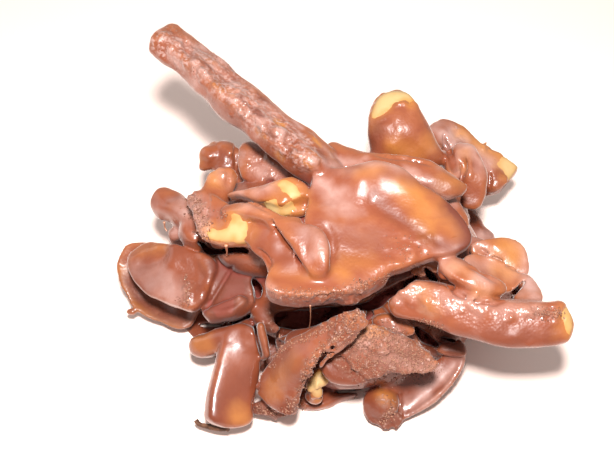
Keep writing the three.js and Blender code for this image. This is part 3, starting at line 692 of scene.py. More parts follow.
def scattered(path, spread, count, seed):
    """Random places about a path in the front view."""
    random = np.random.default_rng(seed)
    places = spaced(smooth(flat(path)), random.random(count))[:, :2]
    return places + random.normal(0, spread / 2, (count, 2))


def blisters(path, spread, count, radius, height, seed):
    """Random low bubbles about a path, of uneven size."""
    random = np.random.default_rng(seed + 100)
    for place in scattered(path, spread, count, seed):
        size = radius * random.uniform(0.6, 1.3)
        heap.ridge([place], size, height * size / radius, soft=BLISTER_SOFT)


def scratch(u, v, length):
    """A short path that runs as the long noodle does."""
    return [(u, v), (u + LONG_NOODLE_WAY[0] * length, v + LONG_NOODLE_WAY[1] * length)]


heap.ridge([(-21.5, 29.6), (-17.8, 27.6), (-15, 26.2), (-11.5, 23)], 0.5, 0.2, soft=0.4)
heap.ridge([(-17.7, 25.6), (-15, 23.3), (-12.8, 21.5)], 0.45, 0.3, soft=0.3)
heap.crease([(-18.6, 29), (-18.1, 27.5), (-18, 26.3)], 0.35, 0.35)
heap.lift([(-22, 30)], 1.2, 0.4)
heap.lift([(-23.2, 29)], 0.9, 0.2)
heap.lift([(-18.3, 29.2)], 1.2, 0.5)
heap.ridge([(-22.3, 26.4), (-21, 25.6)], 0.6, 0.35)
heap.ridge([(-4.2, 14.7)], 1.5, 0.7, soft=0.2)
heap.crease([(-6.4, 14.7), (-5.3, 13.6), (-3.8, 13.1), (-2.6, 13.9)], 0.4, 0.45)
heap.ridge([(-10.2, 20)], 1.2, 0.45, soft=0.2)
heap.ridge([(-10.3, 18.1)], 0.8, 0.35, soft=0.2)
heap.ridge([(-7.4, 16.6)], 0.7, 0.35, soft=0.2)
blisters([(-20, 28), (-17, 25.4), (-13, 22), (-9, 18.6), (-5, 15.2), (0, 11.6)], 2.8, 150, 0.36, 0.16, 1)
blisters([(-10.5, 20.5), (-9.8, 18.6)], 1.8, 30, 0.4, 0.26, 2)
blisters([(-2, 12.4), (0, 11), (2, 9.8)], 1.8, 26, 0.4, 0.2, 3)
heap.ridge([(-1.2, 11.8), (0.6, 10.4), (1.8, 9.8)], 0.7, 0.3)
random = np.random.default_rng(32)
for u, v in scattered([(-22, 29), (-17, 26), (-10, 20), (-3, 14), (2, 11)], 3.6, 90, 33):
    length = random.uniform(0.3, 2.2)
    heap.ridge(scratch(u, v, length), random.uniform(0.22, 0.4), random.uniform(0.06, 0.2), soft=0.2)
# Short streaks along it of painted sheen, painted shade, thin coat and rough rim.
random = np.random.default_rng(31)
for u, v in scattered([(-22, 28.6), (-17, 25.5), (-10, 19.5), (-3, 13.6), (2, 10.6)], 3.4, 110, 30):
    length = random.uniform(0.3, 1.8)
    field = random.choice(["painted_sheen", "thin", "painted_sheen", "dull_painted_shade", "painted_sheen", "dull_painted_shade", "rough"])
    heap.tint(field, scratch(u, v, length), random.uniform(0.15, 0.5), random.uniform(0.4, 1.0),
              ragged=0.4, edge=0.7)

# The coat on the back: the chocolate drew in between the knob's lobes and beside the strip, and
# it lies fuller along the strip's near edge, with small blisters.
heap.crease([(-13.8, 12.6), (-13.4, 11.4), (-13.8, 10.4)], 0.4, 0.25, soft=0.4)
heap.lift([(-15, 10.9)], 0.6, 0.3)
heap.lift([(-11.8, 11.6)], 0.6, 0.3)
heap.crease([(-10.8, 13.1), (-10.7, 10.5), (-10.6, 8)], 0.35, 0.6)
heap.lift([(-8.9, 12.6), (-8, 9.8), (-7, 7.8)], 1.0, 0.5)
heap.lift([(-7, 10.6), (-6, 9.2), (-4.5, 8.5)], 0.7, -0.35)
blisters([(-8.6, 11), (-7, 9.2), (-4.8, 8)], 1.8, 22, 0.5, 0.22, 8)

# The coat on the hand: dark lines where its pieces meet, full edges where chocolate ran down to
# them, and one deep opening beside the leg.
heap.lift([(-12.4, 7), (-13.8, 5.8)], 1.1, -0.35)
blisters([(-13.6, 8), (-12.2, 8.6)], 1.4, 12, 0.4, 0.16, 9)
heap.crease([(-15.1, 6), (-15, 3.5), (-15.4, 0.5)], 0.3, 0.3)
heap.lift([(-10.8, 0.6), (-13, -0.3)], 1.6, 0.3)
heap.crease([(-10.8, 4.3), (-8.4, 4.1), (-6, 3), (-4.6, 2.2)], 0.35, 0.35, soft=0.2)
heap.gap([(-16.3, -1.9), (-15, -3.1), (-13, -3.3), (-10.6, -2.9), (-9.2, -3.2)],
         [0.3, 0.45, 0.35, 0.45, 0.4], 3)
heap.lift([(-5.6, -1), (-5.2, -2)], 1.1, 0.3)
heap.crease([(-5.8, 1.4), (-4.6, -0.1), (-3, -2.3), (-1.5, -4.4), (-1, -5.2)], 0.4, 0.9,
            soft=0.15, fade=0.15)
heap.lift([(0.6, -0.4), (1.4, -1.8), (1.6, -4)], 1.0, 0.3)
heap.crease([(2.8, 0.6), (3.7, -0.9), (4, -3), (3.8, -5.8)], 0.6, 0.3, soft=0.5)
heap.crease([(-8.2, -2.8), (-6.4, -3.8), (-5.4, -5.6)], 0.3, 0.6, soft=0.15)
heap.ridge([(-9, -4.3), (-8.4, -6.3), (-7.4, -7.4)], 0.4, 0.2, rough=0.9)
heap.gap([(-8, -7.9), (-7.4, -9), (-7.4, -10)], [0.5, 0.7, 0.6], 7)

# The coat on the broad flake: a hump under its far edge and a long valley that runs down to the
# right, and dark openings below its lip. The coat also sank a little on the shell, the strip and
# the knob as it set, which turns the light's reflection there.
for path, width, height in (
    ([(8.6, 8), (11, 8.4), (13.2, 8)], 2.2, 1.25),
    ([(15.5, 6.4), (19, 3.6)], 1.6, 0.25),
    ([(10, 4), (12, 2.6), (14.5, 1.2), (17, 0)], 0.9, -0.45),
    ([(18, -0.6), (20, -1.8)], 0.7, -0.2),
    ([(21.5, -5.2), (24, -6.6)], 0.8, -0.3),
    ([(15, -27.2), (18, -24.9), (20.5, -22.6), (22.8, -20.4)], 1.0, -0.2),
    ([(-8.6, 11.4), (-7.6, 8.4)], 0.8, -0.4),
    ([(-6.8, 8.2), (-5.6, 7.4)], 0.6, -0.3),
    ([(-16, 10.5), (-14.4, 10.3)], 0.7, -0.35),
    ([(-12.8, 11.9), (-11.6, 11)], 0.6, -0.3),
    ([(11.6, -24.2), (12.8, -24.3)], 0.5, -0.3),
    ([(1.5, 6.4), (3.5, 5.4)], 1.6, -0.25),
    ([(-5.7, -8.2)], 0.9, 0.3),
):
    heap.lift(path, width, height)
heap.gap([(17.9, -5.8), (18.7, -6.8), (19.3, -7.6)], [0.35, 0.5, 0.45], 6)
heap.gap([(8.2, -11.7), (10, -11.4), (12, -10), (14, -8.9), (16.8, -7)], [0.5, 1.0, 0.8, 0.7, 0.3], 3.5)
heap.gap([(-3.8, -13.6), (-1.5, -13.7), (2, -13), (6, -12), (8, -11.7)], [1.3, 1.6, 1.2, 0.6, 0.4], 2.2)
heap.gap([(-4.4, -16), (-3, -15)], [0.5, 0.9], 2.5)
blisters([(12, -1.4), (15, -3), (17.5, -1.8), (13, -4.6)], 2.8, 44, 0.27, 0.14, 4)
heap.ridge([(17.8, -1.3)], 0.42, 0.3, soft=0.15)

# The coat on the right: a fold across the short noodle, sharp edges on the two upper plates, and
# the thick noodle's uneven coat, full where the chocolate ran together.
heap.crease([(24, -5), (26.5, -6.4), (29.3, -8)], 0.4, 0.35)
heap.ridge([(25, -7.4), (26.5, -7.4), (28, -8.4)], 0.4, 0.2, soft=0.2)
heap.crease([(20, -6.5), (22.5, -9), (25.5, -10.7), (30, -10.8)], 0.4, 0.7, soft=0.2)
heap.ridge([(26, -3.8), (28, -4.3), (30.3, -5.4), (33, -7.1)], 0.3, 0.25, soft=0.15)
heap.crease([(25.6, -2.4), (27.6, -3.7), (30, -4.9), (32.8, -6.7)], 0.35, 0.5, soft=0.15)
heap.ridge([(33, -3.4), (33.4, -5), (33.3, -6.8)], 0.3, 0.2, soft=0.15)
heap.lift([(28.6, -2.4), (29.4, -3.2)], 0.7, 0.35)
heap.gap([(31.2, -9.9), (32.4, -8.6), (33, -7.9)], 0.35, 3)
heap.lift([(14.5, -11.6), (17, -12.8), (20, -13.4)], 0.6, -0.25)
heap.ridge([(18.2, -10.6)], 1.3, 0.5, soft=0.25)
heap.lift([(14.5, -9.3), (16, -8.4)], 1.2, 0.4)
heap.lift([(13.2, -10.8)], 0.8, 0.3)
heap.lift([(30.4, -11.4), (30.2, -13), (30.8, -15)], 0.7, -0.3)
blisters([(14, -9.2), (20, -10.8), (26, -12), (33, -12.4)], 2.4, 60, 0.45, 0.16, 5)
blisters([(18, -14.2), (25, -16), (32, -16.5), (38, -15.5)], 1.6, 20, 0.4, 0.1, 6)
heap.gap([(16.6, -15), (17.8, -16.2), (19.5, -17.4)], [0.4, 0.9, 0.5], 3.5)
heap.gap([(20.5, -16.4), (22.5, -16.9)], [0.3, 0.4], 3)

# The coat on the nut side: a thick edge where the chocolate ends on the nut, and furrows beside
# the bent noodle and across the bar, where it drew in between them.
heap.ridge([(13, 18.8), (14.6, 19.4), (16.2, 18.6)], 0.4, 0.25, soft=0.2)
heap.lift([(14, 17), (14.4, 16)], 1.1, 0.3)
heap.ridge([(16.1, 20.6)], 0.8, 0.7)
heap.crease([(9.6, 16.6), (11, 16.4), (12.8, 16.9)], 0.3, 0.2)
heap.crease([(20.6, 14.8), (21.4, 12.6), (22.2, 10.4), (22.6, 8.4)], 0.5, 0.8, soft=0.25)
heap.crease([(23.7, 11.2), (23.8, 9), (23.2, 7.4)], 0.35, 0.5, soft=0.2)
heap.ridge([(24.6, 11.3), (24.9, 9.5), (24.4, 7.4)], 0.5, 0.3, soft=0.3)
heap.lift([(20.5, 14.9), (22, 13.4)], 0.9, 0.4)
heap.crease([(27.8, 9), (27.7, 6.4)], 0.25, 0.5, soft=0.1)
heap.crease([(10, 11.5), (15, 10.9), (19, 9.8)], 0.3, 0.5)
heap.lift([(19, 8), (21.5, 7)], 0.8, 0.3)

# The coat on the left: the folded flake's back rim, its middle fold and its rough stripe, and
# the plates that meet beside it in two dark lines.
for path, width, height in (
    ([(-25.5, -5.4), (-23.5, -4.9), (-21.8, -3.8)], 0.6, -0.35),
    ([(-26.4, -4.4), (-24.6, -3.4), (-22.4, -2.6)], 0.7, 0.4),
    ([(-20.3, -3), (-20.4, -6), (-19.7, -9), (-18.8, -11.4)], 1.1, 0.2),
    ([(-24, -7.5), (-22.6, -8.8)], 2.0, -0.3),
):
    heap.lift(path, width, height)
heap.ridge([(-18.7, -7), (-18.2, -9), (-18.2, -11)], 0.35, 0.2, rough=1.0)
for path, width, height in (
    ([(-15.8, -4.8), (-15, -6.2)], 1.0, 0.5),
    ([(-16, -9.6), (-15.9, -10.6)], 0.7, 0.3),
    ([(-17.4, -3.4), (-17, -5.5), (-16.9, -8)], 0.8, -0.2),
):
    heap.lift(path, width, height)
heap.crease([(-11.1, -5.2), (-12.6, -7.6), (-14, -10), (-15.4, -12.2)], 0.35, 0.5, soft=0.15)
heap.crease([(-13.4, -11.8), (-11.2, -11.1), (-9.2, -9.9)], 0.4, 0.3, soft=0.4)
heap.lift([(-12.3, -4.4)], 0.7, 0.3)
heap.gap([(-16.2, -14.5), (-13, -14.5), (-10.4, -13.9), (-8.6, -13)], [0.12, 0.22, 0.22, 0.2], 1.6)

# The coat on the front: dark openings beside the leaf, the strip and the bark, notches in the
# strip's foot, and the shell's raised rim. The peanut crumb keeps its lumps.
heap.gap([(-7.9, -14.6), (-7.6, -16.5), (-6.9, -19.2)], 0.2, 3)
heap.crease([(-6.9, -20.6), (-7.4, -23), (-8, -26), (-8.2, -27.6)], 0.3, 0.6, soft=0.15)
heap.crease([(-6, -27.6), (-5.7, -26.4)], 0.35, 0.5)
heap.crease([(-3.2, -27.8), (-3.4, -26.6), (-3, -25.6)], 0.35, 0.5)
for path, width, height in (
    ([(-0.4, -16.6), (1.6, -16.2)], 0.7, 0.25),
    ([(1.6, -17.6), (-0.6, -19.8), (-1.8, -22.4), (-2.4, -25)], 0.7, -0.35),
    ([(-5.2, -24.5), (-4, -21.5), (-2, -19)], 1.2, 0.3),
):
    heap.lift(path, width, height)
heap.gap([(9.6, -12.8), (8.8, -13.8)], [0.7, 0.3], 5)
heap.gap([(4.2, -17.6), (2.4, -19.2), (1.2, -21.2)], [0.2, 0.35, 0.4], 4)
heap.crease([(3.4, -18.7), (5.6, -20), (7, -21.8), (9, -22.9)], 0.35, 0.5, soft=0.2)
heap.lift([(13.2, -14.3), (14.3, -15.4)], 0.8, 0.3)
heap.crease([(12, -18.8), (14, -18.9)], 0.35, 0.25)
heap.lift([(8, -18), (12, -17.4)], 1.2, 0.35)
heap.lift([(14.5, -19.8), (17, -20.4)], 1.0, -0.3)
heap.gap([(4.5, -24.6), (8, -24.4), (11, -23.6)], [0.25, 0.35, 0.2], 2)
heap.crease([(14, -24.6), (14.3, -26.2), (13.8, -27.8)], 0.35, 0.5, soft=0.2)
heap.lift([(11, -24.4), (12.8, -24.4)], 0.7, 0.3)
heap.lift([(10, -26.4), (10.4, -27.6)], 1.0, -0.4)
heap.ridge([(15, -28.4), (18.4, -26.3), (21.6, -23.4), (23.6, -20)], 0.4, 0.4, soft=0.25)
blisters([(1.2, -22.9), (1.6, -24.4), (0.9, -25.6)], 0.8, 6, 0.6, 0.3, 7)

# The rough rims: crumbs of crisp in chocolate that was dragged along while it set, on the palm's
# side, the strip's edge, the lip, the bark and the ends of two noodles.
def patches(field, rows, **border):
    """Patches of one field, of finish or of painted sheen or shade: each row is a path in the
    front view, a radius and an amount.
    """
    for path, radius, *amount in rows:
        heap.tint(field, path, radius, *amount, **border)


patches("rough", (
    ([(-17.6, 5.2), (-16.6, 3), (-16, 0.5), (-16, -1)], [1.2, 1.2, 0.9, 0.4]),
    ([(-5.4, -9.9), (-2, -10.5), (2, -10.4), (6, -9.8), (10, -8.6)], [0.6, 1.3, 1.3, 1.0, 0.5]),
    ([(8.4, -12.6), (6, -15), (3.6, -17.6), (1, -20.6), (-0.4, -23), (-1.6, -26.6)],
     [1.2, 1.5, 1.2, 0.8, 0.6, 0.7]),
    ([(-5.8, -20), (-3.4, -17.8), (0, -16.4), (3.4, -14.6)], 0.4),
    ([(6, -18), (9, -18), (12, -18.5), (16, -19.5), (18.5, -20.5)], [2.2, 3.4, 3.2, 2.4, 1.4]),
    ([(7, -21), (10, -21.5), (14, -20.5)], [1.6, 1.6, 1.4]),
    ([(11.4, -26.2), (12.8, -27.2), (11.4, -28.8)], [0.6, 0.9, 0.7]),
    ([(-5.6, -13.2), (-4.8, -15.2)], 0.7),
    ([(2.4, -15), (5, -13.6), (7.6, -12)], 0.9),
    ([(-18.5, -7), (-18.2, -9), (-18.3, -11)], 0.6),
    ([(34.5, -12.8), (36.5, -12.6), (38.5, -12.6)], 0.7),
    ([(16, -13.8), (18.5, -14.4), (20.5, -15.2)], 0.5),
    ([(-22.6, 30), (-20, 30.4)], 0.7),
))

# The thin coat: so little chocolate is left here that the fried crisp's golden brown shows
# through it, mostly on crowns and rims, where it ran off.
patches("thin", (
    ([(14, 6.5), (17, 4.5), (18, 1.5), (18.5, 0)], [1.2, 2.0, 2.0, 1.2], 0.6),
    ([(20, 3), (22.5, 1)], 2.4, 0.3),
    ([(8.5, 8.8), (11, 9.2)], 0.8, 0.4),
    ([(4.6, -6), (5.5, -6.6)], 0.9, 0.7),
    ([(6, -4.8), (9, -5)], 1.3, 0.35),
    ([(22.2, -5.4), (24, -6.6)], 0.8, 0.5),
    ([(26, -9.4), (29, -9.6)], 0.6, 0.4),
    ([(29.5, -2.2), (31.3, -2.8), (31, -4.6)], 1.3, 0.6),
    ([(29, -6), (30.5, -6.6)], 1.0, 0.6),
    ([(12.8, 13), (13.6, 12)], 0.8, 0.6),
    ([(16.5, 11.5), (18.5, 13.5)], 1.5, 0.35),
    ([(23.6, 14.6), (27, 12.7), (30, 10.8)], 1.0, 0.9),
    ([(24.2, 12), (24, 9.5)], 0.5, 0.5),
    ([(20.5, 7), (22.5, 7)], 0.9, 0.5),
    ([(-14.4, 8.8), (-14, 7.2)], 0.9, 0.5),
    ([(-13.4, -3.6), (-14.6, -3.8)], 0.8, 0.4),
    ([(-1.5, 3), (-0.3, 4)], 0.9, 0.3),
    ([(-6.5, -6.8), (-3, -6.9), (1, -6.9)], 0.7, 0.3),
    ([(-23.5, -2.6), (-22, -2.4)], 0.7, 0.5),
    ([(-5.5, -24.5), (-4.5, -22.5), (-2.5, -20)], 1.3, 0.3),
    ([(-10.2, -28.4)], 1.4, 0.5),
    ([(-17, -17), (-15, -17.4)], 1.2, 0.35),
    ([(13.6, 12.4), (17, 12)], 1.6, 0.35),
    ([(-25, -3.2), (-22.6, -2.6)], 1.0, 0.3),
    ([(8.5, -15), (11.5, -15)], 0.6, 0.6),
    ([(11.6, -25), (13, -25.6)], 0.9, 0.5),
    ([(17.8, -9.4), (18.6, -11.6)], 1.0, 0.35),
    ([(-28.4, -6), (-27.6, -9), (-25.5, -11.8), (-22.5, -13.9), (-19.5, -14.6)], 0.3, 0.7),
), edge=2.0)

# The painted sheen: lighter, pinker colour painted where the coat catches the light, along
# edges, on blisters and on the thin plates, standing in for sheen and highlights.
patches("painted_sheen", (
    ([(-25, -6), (-23, -8), (-20.8, -9.8)], [1.0, 2.0, 1.7], 0.7),
    ([(24.4, 11.6), (26, 11), (27.2, 9)], 0.6, 0.8),
    ([(25.8, -1.2), (28, -0.9), (31.5, -1.3), (33.3, -3), (33.6, -6)], 0.3, 0.8),
    ([(25.8, -2), (28, -3.4), (30.3, -5), (33, -7)], 0.3, 0.8),
    ([(1.6, 7.8), (3.6, 5.6), (5.6, 3.4)], [1.0, 1.7, 1.4], 0.8),
    ([(-10.5, 5.4), (-7.6, 6), (-5.2, 6.8)], 0.7, 0.8),
    ([(-13.6, 8.8), (-12.2, 8)], 0.8, 0.6),
    ([(-17.6, 5), (-16.8, 2.4), (-16.2, 0)], 0.8, 0.7),
    ([(20, 15.6), (24, 13.4), (28, 10.6)], 1.2, 0.9),
    ([(31.4, -1.8), (33, -3.6), (33, -6)], 0.4, 0.9),
    ([(24.6, -7), (26.4, -7.2), (27.8, -8.3)], 0.5, 0.8),
    ([(21.2, -4.8), (23, -5.2)], 0.6, 0.8),
    ([(22, -5.6), (24.2, -6.8)], 0.5, 1.0),
    ([(-6.6, 3.2), (-9.6, 3.6)], 0.4, 0.5),
    ([(-24, -13.2), (-20, -14.8), (-18, -14.9)], 0.5, 0.5),
    ([(2, 8.9), (7, 9), (11, 9.6)], 0.5, 0.35),
    ([(0.2, 0.2), (1.6, -1.4), (1.2, -3)], [0.9, 1.0, 0.5], 1.0),
    ([(24.6, -5), (28, -5.4), (31, -6.8)], 0.9, 0.6),
    ([(33.8, -8.2), (34.8, -10)], 0.9, 1.0),
    ([(-19.5, 25), (-17.6, 23), (-16, 21.6)], 0.5, 0.8),
    ([(-20, 29), (-15, 26), (-9.5, 21), (-5, 17.6)], 1.2, 0.4),
    ([(-19.2, 4.6), (-18.3, 2.8)], 1.0, 0.8),
    ([(-22.6, 2.6), (-21, 1.8)], 0.6, 0.5),
    ([(-20.4, -0.2), (-19.4, -0.6)], 0.9, 1.0),
    ([(-8.4, 11), (-7.4, 9.6), (-5, 8.4)], 0.7, 0.6),
    ([(-16.6, 4), (-16, 1)], 0.7, 0.5),
    ([(14, -9), (20, -10), (26, -11.4), (33, -12)], 0.9, 0.6),
    ([(1.4, 9.6), (5, 9.9), (10, 10.2), (14, 9.4), (18, 7.2), (22, 4)], 0.25, 1.0),
    ([(-0.6, -15.8), (-3, -17.6)], 0.7, 0.3),
    ([(15, -28.4), (18.4, -26.3), (21.6, -23.4), (23.6, -20)], 0.35, 0.8),
    ([(15.4, -26.8), (18, -24.9), (20.5, -22.6), (22.4, -20.6)], 0.7, 0.8),
    ([(7, -16.4), (9, -17.4)], 1.0, 0.6),
    ([(13.6, -15.4), (14.6, -17)], 0.8, 0.7),
    ([(12, -19.6), (14, -19.4)], 0.9, 0.6),
    ([(17, -20.6), (19, -20.8)], 0.8, 0.5),
    ([(-10.6, 20.4), (-9.4, 19.6)], 0.8, 1.0),
    ([(-10.4, 18.1)], 0.6, 1.0),
    ([(-7.4, 16.6)], 0.5, 1.0),
    ([(-4.2, 14.9)], 0.9, 1.0),
    ([(-17.2, 25.3), (-15.2, 23.5)], 0.35, 1.0),
    ([(-16, 21), (-13, 18), (-9.8, 14.6)], 0.3, 1.0),
    ([(20.6, 14.8), (22.6, 12.8)], 0.7, 0.8),
    ([(22.9, 11), (23.1, 9)], 0.4, 0.6),
    ([(-11, -8), (-10, -10)], 1.4, 0.25),
    ([(-6.4, -8.6), (-5.6, -9.4)], 0.7, 0.5),
), ragged=1.0, edge=2.6)

# Painted shade: darker chocolate along the undersides and in the corners between pieces,
# where shade falls. It is also duller there, in its roughness and its coat.
patches("dull_painted_shade", (
    ([(10.4, 5), (13, 2.4), (16, 0.4), (19, -1.5), (24, -3.8)], 0.5, 1.0),
    ([(21.5, 4), (24.3, 1), (25, -1.4), (24, -3)], 1.5, 1.0),
    ([(12, 8.6), (16, 7.6), (20, 5.4)], 0.4, 0.6),
    ([(-5, -10.8), (-2, -11.3), (2, -11.3), (6, -10.6)], 0.9, 1.0),
    ([(-5.8, -13.4), (-4.6, -15.4)], 1.0, 1.0),
    ([(-7.2, -14), (-6.6, -17), (-6, -19.4)], 0.5, 0.7),
    ([(10, 12), (10.2, 14.4), (10.8, 16)], 1.2, 0.7),
    ([(-14, 19.2), (-9, 14), (-5.4, 11.2), (-1, 8.6)], [0.6, 1.1, 1.2, 1.2], 0.45),
    ([(-12.6, -6), (-11, -9), (-13, -11.6)], 2.7, 1.1),
    ([(16, -13.8), (22, -15.8), (30, -17), (37, -16.8)], 1.2, 0.4),
    ([(0, 0), (6, -1.5), (10, -2)], 2.2, 0.35),
    ([(-25, -6), (-23.4, -8)], 1.8, 0.45),
    ([(-27.4, -7.6), (-25.4, -10.6), (-22.4, -12.9), (-19, -14)], 0.7, 1.0),
    ([(-8, -27.2), (-5, -28.2), (-2, -27.6)], 0.8, 1.2),
    ([(-11.1, -5.2), (-12.6, -7.6), (-14, -10), (-15.4, -12.2)], 0.8, 1.6),
    ([(9.4, -27), (11, -29.4), (14, -29)], 0.7, 0.6),
    ([(4.4, -19), (6.2, -18)], 0.9, 0.6),
    ([(10, -21), (13, -21.6)], 0.9, 0.7),
    ([(16, -18.4), (17.6, -19.2)], 0.9, 0.6),
    ([(19, 7), (23.4, 6)], 1.2, 0.5),
    ([(-5, -2.6), (-2.4, -5)], 1.3, 0.4),
    ([(5, -21.6), (8, -22.4)], 1.2, 0.9),
    ([(-5, -16), (-3.4, -15)], 1.0, 0.8),
    ([(-3.4, -15.4), (-1.6, -15.6)], 0.7, 1.0),
    ([(-7.7, -9.4)], 1.0, 1.4),
    ([(20.5, -16.8), (23, -17.6)], 1.8, 1.0),
    ([(-9, -1.4), (-7, -2.4)], 1.2, 0.4),
    ([(-3.4, -19.4), (-2.4, -21.6)], 1.4, 0.5),
    ([(3.6, -20.4), (6, -22), (9, -22.6)], 1.0, 0.9),
    ([(28, -16.4), (36, -16.2)], 1.6, 0.6),
    ([(23, 5.4), (24.2, 4.2)], 0.6, 0.8),
    ([(-13, 11), (-11, 10.6)], 0.6, 0.5),
    ([(2.6, 0.4), (3.6, -1), (3.8, -4), (3, -6)], 0.5, 0.5),
), edge=2.4)

# The pitted coat: full of small burst bubbles where the chocolate lay thick, mostly on the
# noodles that stand out and on the crisps beside them.
patches("pitted", (
    ([(13, -10), (17, -9.2), (20, -10.6), (26, -12.2), (34, -12.4), (38, -12.6)], 1.5, 1.0),
    ([(-22, 29), (-17, 26), (-10, 20), (-4, 15), (0, 11.5)], 1.8, 0.7),
    ([(-10.4, 20.4), (-9.8, 18.4)], 1.3, 1.0),
    ([(-2, 12.4), (1.6, 9.8)], 1.5, 1.0),
    ([(-8.4, 10.6), (-5, 8.6)], 1.6, 1.0),
    ([(12.6, -1.8), (15.5, -3.2), (17.5, -1.6)], 0.9, 0.35),
    ([(-9.5, 5.4), (-5, 6.6)], 0.8, 0.5),
    ([(8, -5.2), (4.6, -4.6)], 0.9, 0.5),
), ragged=0.8, edge=1.6)

# The calm coat: chocolate that ran out smooth and set with a gloss, on the leaf, the broad flake,
# the leg, the shell, the finger and the plates at the left.
patches("calm", (
    ([(-9, -15), (-11, -21), (-12, -28)], 4.4),
    ([(20, 3), (22, 0), (23, -2.6)], 2.2),
    ([(4, 2), (10, -1), (19, -3.4)], 1.8),
    ([(-5, -7.8), (0, -8.2), (8, -7.4)], 1.2),
    ([(-6, -1), (-4, -4), (-2, -5.5)], 1.4),
    ([(14, -27), (18, -24.5), (22, -20.5)], 1.6),
    ([(-12, -6), (-11, -10)], 2.4),
    ([(6.5, 8), (10, 7.4), (14, 7)], 2.4),
    ([(-23, 4), (-21, 4)], 2.0),
), ragged=0.0, edge=2.0)

# The bare patches: no chocolate stuck to the crisp here, nor to the nut's crown and the peanut.
# Round each runs a rim of thin coat. Ripe is cream in the middle of a patch, and its rim is toast.
for path, radius in (
    ([(-14.3, -0.7), (-12.8, -0.4), (-11, 0.1), (-10.2, -0.9)], [0.9, 1.4, 1.6, 1.3]),
    ([(-5.2, 3.2), (-4.5, 3.5), (-3.4, 3.2)], 1.4),
    ([(-3.6, 7), (-2.4, 6), (-1, 5.4)], [0.7, 0.8, 1.0]),
    ([(10.4, 17.4), (11.2, 19.6), (12.8, 20.9), (15.4, 21)], [1.0, 2.0, 2.3, 1.9]),
    ([(30.2, 9.8), (31.2, 9)], 1.2),
    ([(40, -13), (39.8, -14.8)], 0.9),
    ([(1, -23.8), (2.2, -22.9), (1.6, -24.6)], 1.9),
):
    heap.tint("bare", path, radius, 1.0, ragged=0.7, edge=1.6)
    heap.tint("ripe", path, np.subtract(radius, 0.4), 1.0, ragged=0.9, edge=1.8)
    heap.tint("thin", path, np.add(radius, 0.4), 0.7, ragged=0.9, edge=2.2)

# The long noodle's grain: its coat was dragged along it, and left fine streaks and specks.
# They are too fine for the mesh, so the chocolate's shader draws them where this field says,
# and paints a sheen with glinting specks over the noodle there.
heap.tint("streaks_and_painted_sheen", [(-22.6, 29.2), (-15.4, 25), (-7.2, 18.2), (-0.6, 12)], 2.7, edge=1.6)

# The coat on the side that the picture doesn't show: rough, thin and pitted by turns, with a few
# bare spots, as on the front, and with patches of painted sheen and painted shade.
BEHIND_FROM = 3.0  # millimetres past the middle, on a slope that leans over the heap
BEHIND_OVER = 3.0
x, y, z = heap.places(tuple(slice(0, n) for n in heap.shape))
behind = np.clip((y * 0.8 - z * 0.5 - BEHIND_FROM) / BEHIND_OVER, 0, 1).astype(np.float32)
for name, size, least, seed in (
    ("rough", 3.0, 0.7, 41), ("thin", 3.4, 0.5, 42), ("pitted", 4.0, 0.3, 43),
    ("painted_sheen", 3.2, 0.5, 44), ("dull_painted_shade", 3.6, 0.5, 45), ("bare", 2.6, 1.5, 46),
):
    spots = np.clip(1.6 * (waves(heap.shape, size, seed) - least), 0, 1) * behind
    setattr(heap, name, np.maximum(getattr(heap, name), spots))
heap.ripe = np.maximum(heap.ripe, heap.bare * behind)

# The chocolate as it set: slow waves from the spoon, dimples from bubbles, and grains where the
# coat is rough. It is cut flat where it stands. Where it is missing, the crisp shows from half a
# coat's thickness down.
COAT = 0.45
FOOT = 0.05
CRISP_DEEP = 0.5  # how far inside it a crisp keeps its skin where it isn't bare
COAT_FACES = 98000
for height, size, seed in (
    (0.12 * (1 - heap.calm), 3.2, 1),  # waves from the spoon
    ((1 - heap.calm) * (0.045 + 0.09 * heap.pitted), 1.5, 2),  # dimples from bubbles
    (0.02 + 0.2 * heap.rough + 0.05 * heap.pitted, 0.65, 3),  # grains
):
    heap.depth += height * waves(heap.shape, size, seed)
heap.depth = np.maximum(heap.depth, FOOT - z).astype(np.float32)
crisp = np.maximum(heap.depth + COAT / 2, CRISP_DEEP - 2 * heap.bare)
coat = heap.depth + COAT * heap.bare


def blurred(field, radius):
    """A field averaged twice over a box of this half width."""
    for axis in range(3):
        for _ in range(2):
            n = field.shape[axis]
            total = np.cumsum(field, axis, dtype=np.float32)
            high = np.take(total, np.minimum(np.arange(n) + radius, n - 1), axis)
            low = np.take(total, np.maximum(np.arange(n) - radius, 0), axis)
            field = (high - low) / (2 * radius)
    return field


solid = np.clip(0.5 - heap.depth / STEP, 0, 1).astype(np.float32)
heap.deep = blurred(solid, 5)  # higher in corners and folds
heap.hollow = blurred(solid, 9)  # higher in wide hollows
heap.curl = blurred(solid, 2)  # higher in fine creases


def surface(depth):
    """The surface of a field of depths as points and four-sided faces."""
    most = 3 * STEP
    grid = openvdb.FloatGrid(most)
    grid.transform = openvdb.createLinearTransform(voxelSize=STEP)
    grid.copyFromArray(np.clip(depth, -most, most), ijk=tuple(int(n) for n in heap.start))
    grid.gridClass = openvdb.GridClass.LEVEL_SET
    points, quads = grid.convertToQuads(0)
    return points.astype(float), quads.astype(int)[:, ::-1]


def joined(points, quads, least=None):
    """Only the bodies with at least this many points, or only the largest."""
    label = np.arange(len(points))
    ends = quads[:, [0, 1, 2, 3]].ravel(), quads[:, [1, 2, 3, 0]].ravel()
    while True:
        low = np.minimum(label[ends[0]], label[ends[1]])
        after = label.copy()
        np.minimum.at(after, ends[0], low)
        np.minimum.at(after, ends[1], low)
        after = after[after]
        if np.array_equal(after, label):
            break
        label = after
    count = np.bincount(label, minlength=len(points))
    kept = count[label] >= (count.max() if least is None else least)
    number = np.cumsum(kept) - 1
    return points[kept], number[quads[kept[quads[:, 0]]]]


